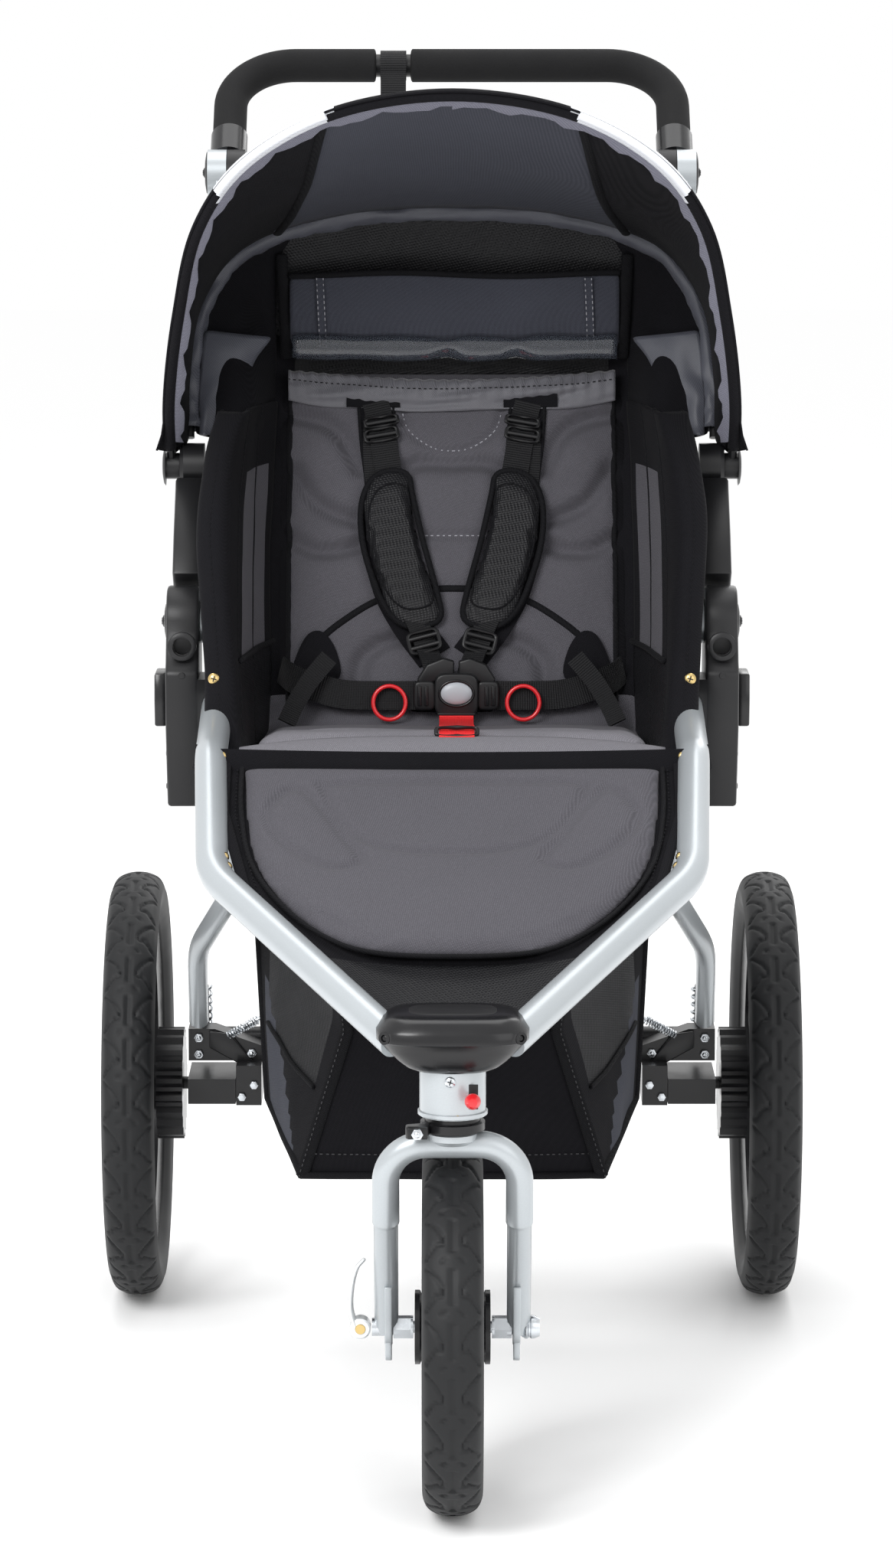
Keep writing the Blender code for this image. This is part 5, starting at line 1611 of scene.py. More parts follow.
def seat_and_footrest():
    """The seat base, its front flap and crease, the footrest and the band between the tubes."""
    outline = superellipse(0.178, 0.100, (0, 0.106), 0.20)
    base = slab("seat_cushion", SEAT, outline, -0.022, -0.004, GREY)
    inflate(base, 0.0050, 0.0060)
    SEAT.swell(
        base,
        [(0, 0.02, 0.13, 0.03, 0.0030), (-0.09, 0.12, 0.05, 0.05, 0.003), (0.09, 0.12, 0.05, 0.05, 0.003)],
    )
    paint(
        base, [LIGHT_GREY, GREY, BLACK], lambda p,
        n: 2 if n.z < -0.2 else (0 if p.y + MIDDLE < 0.420 else 1),
    )
    SEAT.measure(base)
    SEAT.press(
        base, [[(-0.14, 0.085), (-0.06, 0.060), (0.0, 0.055), (0.06, 0.060), (0.14, 0.085)]], 0.0025, 0.005,
    )
    ride(base, "frame", ["seat_base"])

    apron = []
    for i in range(7):
        share = i / 6
        behind = 0.2960 + 0.045 * share
        z = 0.5800 + 0.0170 * math.sin(share * math.pi / 2)
        apron.append(
            [
                at(
                    x, behind, z - 0.010 * share * (abs(x) / 0.186) ** 3,
                ) for x in np.linspace(-0.186, 0.186, 33)
            ]
        )
    made = sheet("seat_front_flap", apron, LIGHT_GREY, 0.0014)
    ride(made, "frame")

    crease = []
    for behind, z in ((0.490, 0.5730), (0.520, 0.5745), (0.545, 0.5800), (0.556, 0.5900), (0.562, 0.6050)):
        crease.append([at(x, behind, z - 0.003 * (x / 0.172) ** 2) for x in np.linspace(-0.172, 0.172, 25)])
    made = sheet("seat_crease", crease, GREY, 0.0014)
    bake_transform(made)

    mirrored_outline = [(-x, v) for x, v in FOOT_OUTLINE[:-1]] + [(x, v) for x, v in reversed(FOOT_OUTLINE)]
    smooth = smooth_route([Vector(p) for p in mirrored_outline], 5)
    pad = slab("footrest_cushion", FOOT, [(p.x, p.y) for p in smooth], -0.0110, 0.0010, GREY)
    inflate(pad, 0.0045, 0.0040)
    leaf_right = mirror_line(FOOT_LEAF)
    FOOT.swell(
        pad,
        [
            (0, 0.25, 0.10, 0.05, -0.0045), (0, 0.120, 0.12, 0.05, 0.0025),
            (-0.125, 0.225, 0.04, 0.045, 0.002), (0.125, 0.225, 0.04, 0.045, 0.002),
        ],
    )
    soften(pad, 2)
    FOOT.press(pad, [FOOT_BOWL, FOOT_LEAF, leaf_right], 0.0042, 0.0050)
    soften(pad, 2)
    FOOT.measure(pad)
    ride(pad, "frame", ["footrest_panel"])
    rim = [(-x, v) for x, v in FOOT_OUTLINE[:-1]] + [(x, v) for x, v in reversed(FOOT_OUTLINE)]
    route = [FOOT.point(p.x, p.y, -0.002) for p in smooth_route([Vector(p) for p in rim], 8)]
    ride(tube("footrest_binding", route, 0.0022, BINDING, 12, (0, 0, 1), 0.001), "frame")

    rows = []
    for i in range(29):
        v = -0.014 + 0.344 * i / 28
        middle = FOOT.point(0, v)
        behind = middle.y + MIDDLE
        half = tube_x(behind) - 0.0105
        row = []
        for k in range(41):
            x = half * (2 * k / 40 - 1)
            sag = 0.0135 * max(0.0, 1 - (abs(x) / half) ** 2.5)
            pull = 0.0016 * math.sin(v * 210) * max(0.0, abs(x) / half - 0.72) * 3
            row.append(FOOT.point(x, v, -sag - 0.002 + pull))
        rows.append(row)
    made = sheet("footrest_sling", rows, [BLACK, MESH], 0.0016, 1, lambda row, column: int(row < 0.21))
    ride(made, "frame")
    hems = []
    for _, sign in SIDES:
        line = []
        for i in range(29):
            v = -0.012 + 0.336 * i / 28
            middle = FOOT.point(0, v)
            half = tube_x(middle.y + MIDDLE) - 0.0135
            line.append(FOOT.point(sign * half, v, 0.0010))
        hems.append(tube("hem", line, (0.0046, 0.0022), BLACK, 12, (1, 0, 0)))
        inner = [p + Vector((-sign * 0.010, 0, -0.0022)) for p in line]
        hems.append(stitches("hem_rows", inner, [FOOT.out] * len(inner), BINDING))
    ride(merged("footrest_hems", hems), "frame")

    band = []
    for k in range(61):
        x = -0.2235 + 0.447 * k / 60
        wrap = max(0.0, abs(x) - 0.205) / 0.0185
        behind = 0.2915 + 0.022 * wrap**2 - 0.004 * (1 - (x / 0.2235) ** 2)
        band.append(at(x, behind, 0.5835 - 0.003 * (1 - (x / 0.2235) ** 2)))
    made = ribbon("seat_band", band, (0, 0.35, 1), 0.0215, 0.0026, BLACK)
    ride(made, "frame")


# ---------------------------------------------------------------- side wings
WING_LEVELS = [  # height, outer front edge, middle and inner back edge, each (half width, distance behind)
    (0.566, (0.2030, 0.330), (0.1850, 0.380), (0.1700, 0.520)),
    (0.590, (0.2130, 0.372), (0.1900, 0.405), (0.1690, 0.545)),
    (0.630, (0.2160, 0.408), (0.1940, 0.440), (0.1680, 0.566)),
    (0.680, (0.2200, 0.436), (0.1960, 0.478), (0.1690, 0.590)),
    (0.730, (0.2240, 0.462), (0.1970, 0.512), (0.1690, 0.614)),
    (0.780, (0.2250, 0.490), (0.1960, 0.540), (0.1680, 0.640)),
    (0.825, (0.2200, 0.520), (0.1930, 0.572), (0.1660, 0.664)),
    (0.862, (0.2100, 0.556), (0.1880, 0.606), (0.1640, 0.684)),
]


def side_wings():
    """The black side panels of the seat, with their edges and screws."""
    for side, sign in SIDES:
        rows = []
        for z, outer, middle, inner in WING_LEVELS:
            front = (outer[0] - 0.020, outer[1] - 0.004)
            key = [
                Vector((sign * (outer[0] - 0.001), outer[1] + 0.018)), Vector((sign * outer[0], outer[1])),
                Vector((sign * front[0], front[1])),
                Vector((sign * (middle[0] - 0.004), middle[1] - 0.010)),
                Vector((sign * (middle[0] * 0.5 + inner[0] * 0.5), (middle[1] + inner[1]) / 2)),
                Vector((sign * inner[0], inner[1])),
            ]
            rows.append([at(p.x, p.y, z) for p in smooth_route(key, 6)])
        levels = []
        columns = len(rows[0])
        for k in range(columns):
            levels.append(smooth_route([row[k] for row in rows], 5))
        grid = [[levels[k][i] for k in range(columns)] for i in range(len(levels[0]))]
        for i, row in enumerate(grid):
            puff = math.sin(math.pi * i / (len(grid) - 1)) ** 0.5
            for k, p in enumerate(row):
                share = k / (columns - 1)
                bulge = 0.005 * math.sin(math.pi * min(1.0, share / 0.55)) if share < 0.55 else 0.0
                ripple = 0.0016 * noise.noise(Vector((p.x * 30, p.y * 22, p.z * 16)))
                p.y -= bulge * puff
                p.x += sign * ripple

        def finish_at(row, column):
            if column > 0.62 and 0.34 < row < 0.80 and column < 0.93:
                return 1
            if column > 0.58 and row <= 0.34:
                return 2
            return 0

        made = sheet(f"side_wing_panel_{side}", grid, [BLACK, GREY, MESH], 0.0042, 1, finish_at)
        ride(made, "frame", [f"side_wing_{side}"])
        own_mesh(made)

        trims = []
        for column, radius, finish in ((0, 0.0022, BINDING), (17, 0.0026, BINDING), (24, 0.0024, BINDING)):
            line = [row[column] + Vector((0, -0.0024, 0)) for row in grid]
            trims.append(tube("edge", line, radius, finish, 10, (1, 0, 0), 0.001))
        stitch = [row[9] + Vector((0, -0.0026, 0)) for row in grid]
        trims.append(stitches("row", stitch, [Vector((0, -1, 0))] * len(stitch), BINDING))
        top_of_pocket = [p + Vector((-sign * 0.004, -0.003, 0.002)) for p in grid[12][17:]]
        trims.append(tube("pocket", top_of_pocket, 0.0026, BINDING, 10, (0, 0, 1), 0.001))
        made = merged(f"side_wing_trim_{side}", trims)
        ride(made, "frame")
        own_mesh(made)
        spot = grid[11][8] + Vector((0, -0.0030, 0))
        ride(screw(f"wing_screw_{side}", spot, (0, -1, 0.1), 0.0052, BRASS), "frame")


def seat_side_gussets():
    """Cloth that closes the gap between each wing and the side of the reclining seat back."""
    for side, sign in SIDES:
        rows = []
        for i in range(19):
            v = -0.020 + 0.430 * i / 18
            edge = 0.1500 - 0.0060 * max(0.0, (v - 0.280) / 0.130)
            row = []
            for k in range(9):
                t = k / 8
                wave = 0.0016 * noise.noise(Vector((v * 30, t * 3, sign)))
                row.append(BACK.point(sign * (edge + 0.0240 * t + wave), v, 0.006 * t - 0.010))
            rows.append(row)
        made = sheet(f"seat_side_gusset_{side}", rows, BLACK, 0.0012)
        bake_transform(made)


seat_back()
seat_side_gussets()
for side_name, side_sign in SIDES:
    shoulder_parts(side_name, side_sign)
waist_and_buckle()
seat_and_footrest()
side_wings()


# ---------------------------------------------------------------- canopy
FOLD_ARM = JOINTS["canopy_open"]["pos_m"]
CLIP = (FOLD_ARM[1] + MIDDLE, FOLD_ARM[2])
FRONT_TURN = math.radians(126.2)
REAR_TURN = math.radians(66.0)
FRONT_BOW = [
    (0.2568, 0.000), (0.2560, 0.080), (0.2440, 0.180), (0.2230, 0.280), (0.1780, 0.355), (0.1000, 0.408),
]
FRONT_BOW_TOP = 0.427
REAR_BOW = [
    (0.2568, 0.000), (0.2400, 0.0270), (0.2400, 0.080), (0.2300, 0.155), (0.1880, 0.213), (0.1000, 0.242),
]
REAR_BOW_TOP = 0.249
BOW_SPAN = 10  # curve points from one chosen point of a bow to the next


def bow_curve(half, top, turn, lift=0.0, forward=0.0):
    """A bow's curve from left to right, moved out by lift and forward across its plane."""
    whole = [(-x, reach) for x, reach in half] + [(0.0, top)] + [(x, reach) for x, reach in reversed(half)]
    flat = smooth_route([Vector(p) for p in whole], BOW_SPAN)
    made = []
    for k, spot in enumerate(flat):
        ahead = (flat[min(k + 1, len(flat) - 1)] - flat[max(k - 1, 0)]).normalized()
        x, reach = spot + Vector((-ahead.y, ahead.x)) * lift
        behind = CLIP[0] + reach * math.cos(turn) - forward * math.sin(turn)
        made.append(at(x, behind, CLIP[1] + reach * math.sin(turn) + forward * math.cos(turn)))
    return made


def between_bows(share, lift, first=0, last=None):
    """A row of the canopy between its bows, at a share of the way from the front."""
    front = bow_curve(FRONT_BOW, FRONT_BOW_TOP, FRONT_TURN, lift)
    rear = bow_curve(REAR_BOW, REAR_BOW_TOP, REAR_TURN, lift)
    row = []
    for a, b in zip(front, rear):
        point = a.lerp(b, share)
        hub = at(point.x * 0.4, *CLIP)
        inward = (hub - point).normalized()
        reach = min(1.0, (point - at(point.x, *CLIP)).length / 0.2)
        sag = 0.010 * math.sin(math.pi * share) * reach
        q = Vector((point.x / 0.085, point.y / 0.075, point.z / 0.085))
        sag += 0.0035 * noise.noise(q) * math.sin(math.pi * share) * reach
        row.append(point + inward * sag)
    return row[first : last or len(row)]


def canopy_blend(made):
    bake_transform(made)
    return made


def canopy():
    """The canopy outside and inside, its rim, reflective strips and seams."""
    count = len(bow_curve(FRONT_BOW, FRONT_BOW_TOP, FRONT_TURN))
    skip = 5
    rows = 15
    shell_rows = []
    for i in range(rows):
        share = i / (rows - 1)
        row = between_bows(share, 0.0050, skip, count - skip)
        for end, beyond in ((0, 1), (-1, -2)):
            side = -1 if end == 0 else 1
            flare = 1 - share
            row[end] = row[end] + Vector((side * (0.003 + 0.004 * flare), 0, -0.012 * flare - 0.002))
            row[beyond] = row[beyond] + Vector((side * 0.002 * flare, 0, -0.006 * flare))
        shell_rows.append(row)
    hem = [p + Vector((0, -0.0050, -0.0006)) for p in shell_rows[0]]
    shell_rows.insert(0, hem)
    shell = sheet("canopy_shell", shell_rows, BLACK, 0.0018, 0)
    canopy_blend(shell)
    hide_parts("canopy_fabric")

    def slate_share(share):
        """Half width of the slate panel, in curve points from the middle, at a share from the front."""
        return BOW_SPAN * (1.12 + 0.55 * share)

    middle = (count - 1) / 2
    lining_rows = [between_bows(0.02 + 0.96 * i / 16, 0.0015, skip, count - skip) for i in range(17)]
    columns = count - 2 * skip

    def lining_finish(row, column):
        place = column * (columns - 1) + skip
        return int(abs(place - middle) > slate_share(row))

    lining = sheet("canopy_lining", lining_rows, [SLATE, BLACK], 0.0012, 0, lining_finish)
    canopy_blend(lining)

    bindings = []
    for sign in (-1, 1):
        route = []
        for i in range(17):
            share = i / 16
            place = middle + sign * slate_share(share) - skip
            k = int(place)
            point = lining_rows[i][k].lerp(lining_rows[i][k + 1], place - k)
            hub = at(point.x * 0.4, *CLIP)
            route.append(point + (hub - point).normalized() * 0.0022)
        bindings.append(tube("side", route, (0.0040, 0.0022), BINDING, 12, (1, 0, 0), 0.001))
    canopy_blend(merged("canopy_lining_bindings", bindings))

    rim = bow_curve(FRONT_BOW, FRONT_BOW_TOP, FRONT_TURN, 0.0005, 0.0)[3:-3]
    made = tube("canopy_rim", rim, (0.0058, 0.0056), [BLACK, REFLECTIVE], 16, (1, 0, 0), 0.002)
    for polygon in made.data.polygons:
        x = abs(polygon.center.x)
        if 0.106 < x < 0.2045 and polygon.center.z > 1.0:
            polygon.material_index = 1
    ride(made, "canopy")
    tape = []
    for sign in (-1, 1):
        route = [
            p + Vector(
                (0, -0.0035, 0.0012)
            ) for p in rim if 0.104 < abs(p.x) < 0.2055 and p.x * sign > 0 and p.z > 1.0
        ]
        tape.append(tube("tape", route, (0.0052, 0.0050), REFLECTIVE, 12, (1, 0, 0), 0.0008))
    ride(merged("canopy_reflectors", tape), "canopy")

    strips = []
    for sign in (-1, 1):
        outer, inner = [], []
        curve = bow_curve(FRONT_BOW, FRONT_BOW_TOP, FRONT_TURN, -0.0040, 0.0015)
        reach = range(4, int(middle) + 1)
        for k in reach:
            p = curve[k] if sign < 0 else curve[count - 1 - k]
            hub = at(p.x * 0.35, *CLIP)
            inward = (hub - p).normalized()
            wave = 0.0022 * math.sin(k * 1.15 + sign) + 0.0012 * math.sin(k * 2.3)
            outer.append(p)
            inner.append(p + inward * (0.0085 + wave) + Vector((0, 0.0040 + 0.5 * wave, 0)))
        half = [a.lerp(b, 0.5) + Vector((0, -0.0012, 0)) for a, b in zip(outer, inner)]
        strips.append(sheet("strip", [outer, half, inner], LILAC, 0.0012, 0))
    made = merged("canopy_rim_facing", strips)
    ride(made, "canopy")

    seams = []
    for share in (0.30, 0.97):
        row = between_bows(share, 0.0064, skip, count - skip)
        seams.append(tube("seam", row, (0.0018, 0.0012), BINDING, 8, (1, 0, 0), 0.0005))
    canopy_blend(merged("canopy_seams", seams))


def rear_sleeve():
    """The satin casing over the rear bow, with gathers."""
    curve = bow_curve(REAR_BOW, REAR_BOW_TOP, REAR_TURN, -0.0010, 0.0010)[12:-12]
    rings = []
    for i, (point, side, other) in enumerate(stations(curve, (1, 0, 0))):
        ring = []
        for k in range(20):
            turn = 2 * math.pi * k / 20
            gather = noise.noise(Vector((i * 0.55, math.cos(turn) * 1.2, math.sin(turn) * 1.2)))
            radius = 0.0078 + 0.0030 * gather
            ring.append(point + side * radius * math.cos(turn) + other * radius * 1.12 * math.sin(turn))
        rings.append(ring)
    made = lofted("rear_bow_sleeve", rings, SATIN, closed_ends=False, smooth_angle=80)
    give_thickness(made, 0.0010)
    ride(made, "upper_frame")
    band = bow_curve(REAR_BOW, REAR_BOW_TOP, REAR_TURN, 0.0068, 0.0068)[30:-30]
    wavy = [p + Vector((0, 0, 0.0010 * math.sin(k * 0.9))) for k, p in enumerate(band)]
    ride(
        tube("rear_bow_binding", wavy, (0.0036, 0.0026), BINDING, 12, (1, 0, 0), 0.002), "upper_frame",
    )


ARM_RISE = 1.173  # the upper frame's arms rise this much for each metre they run back
PANEL_FOOT = 0.880
PANEL_BEHIND = (0.700, 0.722)  # at its top and foot


def panel_point(x, share, lift=0.0):
    """Point of the rear window panel: share runs from the bow down to the seat back."""
    bow = bow_curve(REAR_BOW, REAR_BOW_TOP, REAR_TURN, -0.006)
    best = min(bow, key=lambda p: abs(p.x - x) + (10 if p.z < 0.95 else 0))
    top = at(x, best.y + MIDDLE + 0.004, best.z)
    foot = at(x, PANEL_BEHIND[1], PANEL_FOOT)
    bulge = 0.006 * math.sin(math.pi * share)
    return top.lerp(foot, share) + Vector((0, -lift + bulge, 0))


def fold_blend(made):
    """Bakes into its mesh the placement of cloth that joins the folding upper frame to the seat."""
    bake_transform(made)
    return made


def rear_window():
    """The mesh behind the canopy, with its flap and the rolled clear film."""
    rows = []
    for i in range(15):
        share = i / 14
        row = []
        for k in range(41):
            x = -0.168 + 0.336 * k / 40
            point = panel_point(x, share)
            point.y += 0.0020 * noise.noise(Vector((x * 26, share * 5, 1.7)))
            row.append(point)
        rows.append(row)
    made = sheet("rear_window_mesh", rows, MESH, 0.0012, 1)
    fold_blend(made)
    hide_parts("canopy_rear_panel")

    rows = []
    left, right = -0.1505, 0.1555
    for i in range(11):
        share = i / 10
        z = 0.9775 - 0.0735 * share
        row = []
        for k in range(37):
            x = left + (right - left) * k / 36
            behind = 0.6915 - 0.0060 * math.sin(math.pi * min(1, share * 1.1)) + 0.010 * share
            behind += 0.0022 * noise.noise(Vector((x * 22, z * 18, 4.2)))
            drop = 0.0016 * math.sin(x * 31) * (1 - share) + 0.0020 * math.cos(x / 0.155 * 1.5) * share
            row.append(at(x, behind, z - drop))
        rows.append(row)
    made = sheet("window_flap", rows, SLATE, 0.0014, 1)
    fold_blend(made)

    trims = []
    for sign, edge in ((-1, left - 0.0075), (1, right + 0.0075)):
        line = [
            at(
                edge - sign * 0.004 * share, 0.6905 + 0.010 * share, 0.996 - 0.094 * share,
            ) for share in np.linspace(0, 1, 9)
        ]
        trims.append(tube("side", line, (0.0056, 0.0026), BINDING, 12, (1, 0, 0), 0.002))
    top = [p + Vector((0, -0.0018, 0.0015)) for p in rows[0]]
    trims.append(tube("top", top, (0.0030, 0.0020), BINDING, 12, (0, 0, 1), 0.001))
    fold_blend(merged("window_flap_binding", trims))

    bands = []
    for x in (-0.1225, 0.1265):
        line = [
            at(
                x + 0.003 * share,
                0.6880 - 0.0055 * math.sin(math.pi * min(1, share * 1.1)) + 0.010 * share,
                0.9755 - 0.070 * share,
            ) for share in np.linspace(0, 1, 11)
        ]
        bands.append(ribbon("band", line, (1, 0, 0), 0.0075, 0.0012, SLATE))
        for offset in (-0.0030, 0.0030):
            seam = [p + Vector((offset, -0.0012, 0)) for p in line]
            bands.append(stitches("band_rows", seam, [Vector((0, -1, 0))] * len(seam)))
    fold_blend(merged("window_flap_bands", bands))

    rings = []
    for k in range(49):
        share = k / 48
        x = left + 0.002 + (right - left - 0.004) * share
        crease = math.exp(-(((x + 0.004) / 0.010) ** 2)) + 0.9 * math.exp(-(((x - 0.060) / 0.009) ** 2))
        ring = []
        for j in range(14):
            turn = 2 * math.pi * j / 14
            tall = 0.0115 - 0.0030 * crease + 0.0006 * math.sin(x * 90)
            behind = 0.6930 + 0.0045 * math.cos(turn) - 0.0035 * crease * math.sin(turn)
            ring.append(
                at(x, behind - 0.0020, 0.9120 - 0.0022 * math.cos(x / 0.155 * 1.5) + tall * math.sin(turn))
            )
        rings.append(ring)
    made = lofted("window_vinyl_roll", rings, VINYL, closed_ends=False, smooth_angle=80)
    give_thickness(made, 0.0006)
    fold_blend(made)


def seat_back_behind(z):
    """Where the front face of the seat back is, at a height near its top."""
    return 0.700 + (z - 0.895) * (0.700 - 0.548) / (0.895 - 0.580)


def seat_lip():
    """The gathered casing along the top of the seat back, with its drawstring row."""
    rows = []
    for i in range(13):
        share = i / 12
        row = []
        for k in range(121):
            x = -0.1520 + 0.304 * k / 120
            gather = math.sin(x * 520 + 2.2 * noise.noise(Vector((x * 30, 0, 0)))) * 0.5 + 0.5
            top = 0.8885 - 0.0085 * math.cos(x / 0.152 * math.pi / 2)
            scallop = 0.0016 * gather * max(0.0, 1 - share * 3)
            z = top + scallop - (0.0270 + 0.007 * noise.noise(Vector((x * 14, 2, 0)))) * share
            lift = 0.0045 * math.sin(math.pi * min(1.0, share * 1.3)) + 0.0030 * gather * (1 - share)
            fold = 0.0085 * noise.noise(Vector((x * 20 + share * 2.5, share * 2, 5)))
            behind = seat_back_behind(z) - 0.0045 - lift - fold * math.sin(math.pi * share)
            row.append(at(x, behind, z))
        rows.append(row)
    made = sheet("seat_back_casing", rows, SATIN_GREY, 0.0014, 0)
    ride(made, "backrest")
    seam = [p + Vector((0, -0.0014, 0)) for p in rows[3]]
    ride(
        stitches("seat_back_casing_stitches", seam, [Vector((0, -1, 0))] * len(seam), BINDING), "backrest",
    )


def side_drapes():
    """Black cloth from the rear bow's sides down to the seat wings and the seat back's top corners."""
    bow = bow_curve(REAR_BOW, REAR_BOW_TOP, REAR_TURN, -0.0040)
    for side, sign in SIDES:
        half = bow[11:46] if sign < 0 else list(reversed(bow))[11:46]
        corner = smooth_route(
            [
                at(sign * 0.2030, 0.5750, 0.8180), at(sign * 0.1880, 0.6150, 0.8240),
                at(sign * 0.1720, 0.6500, 0.8300), at(sign * 0.1640, 0.6850, 0.8480),
                at(sign * 0.1640, 0.7040, 0.8900), at(sign * 0.1640, 0.7030, 0.9400),
                at(sign * 0.1640, 0.6990, 0.9900),
            ],
            6,
        )
        rows = []
        count = 31
        for i in range(count):
            share = i / (count - 1)
            a = half[round(share * (len(half) - 1))]
            b = corner[round(share * (len(corner) - 1))]
            middle = a.lerp(b, 0.55)
            nearness = min(1.0, max(0.0, (0.985 - middle.z) / 0.080))
            middle.x += (sign * 0.1860 - middle.x) * nearness
            arm_front = 0.490 + (middle.z - 0.680) / ARM_RISE - 0.0184
            middle.y = min(middle.y, arm_front - 0.0080 - MIDDLE)
            path = smooth_route([a, middle, b], 8)
            row = []
            for k in range(17):
                t = k / 16
                point = path[k].copy()
                crease = noise.noise(Vector((point.x * 34 + sign, point.y * 12, point.z * 15)))
                point += Vector((0, 1, 0.2)) * 0.0065 * crease * math.sin(math.pi * t)
                row.append(point)
            rows.append(row)
        made = sheet(f"side_drape_{side}", rows, BLACK, 0.0014, 1)
        fold_blend(made)

        rows = []
        for i in range(15):
            share = i / 14
            outer = half[round(share * 16)] + Vector((-sign * 0.004, -0.006, 0))
            inner = outer + Vector((-sign * (0.010 + 0.052 * share**1.3), 0.020 * share, -0.008 * share))
            row = []
            for k in range(9):
                t = k / 8
                point = outer.lerp(inner, t) + Vector((0, -0.006 * math.sin(math.pi * t), 0))
                point.y += 0.004 * noise.noise(Vector((t * 2.2 + sign, share * 4, 3)))
                row.append(point)
            rows.append(row)
        made = sheet(f"side_gusset_{side}", rows, SATIN, 0.0012, 1)
        fold_blend(made)


# ---------------------------------------------------------------- basket
BASKET_LOW_FRONT = (0.139, 0.450, 0.178)
BASKET_LOW_REAR = (0.1744, 0.620, 0.2126)
BASKET_TOP_REAR = (0.187, 0.690, 0.400)
BASKET_SIDE_TOP = (0.101, 0.405, 0.352)
BASKET_FRONT_TOP = (0.097, 0.420, 0.319)


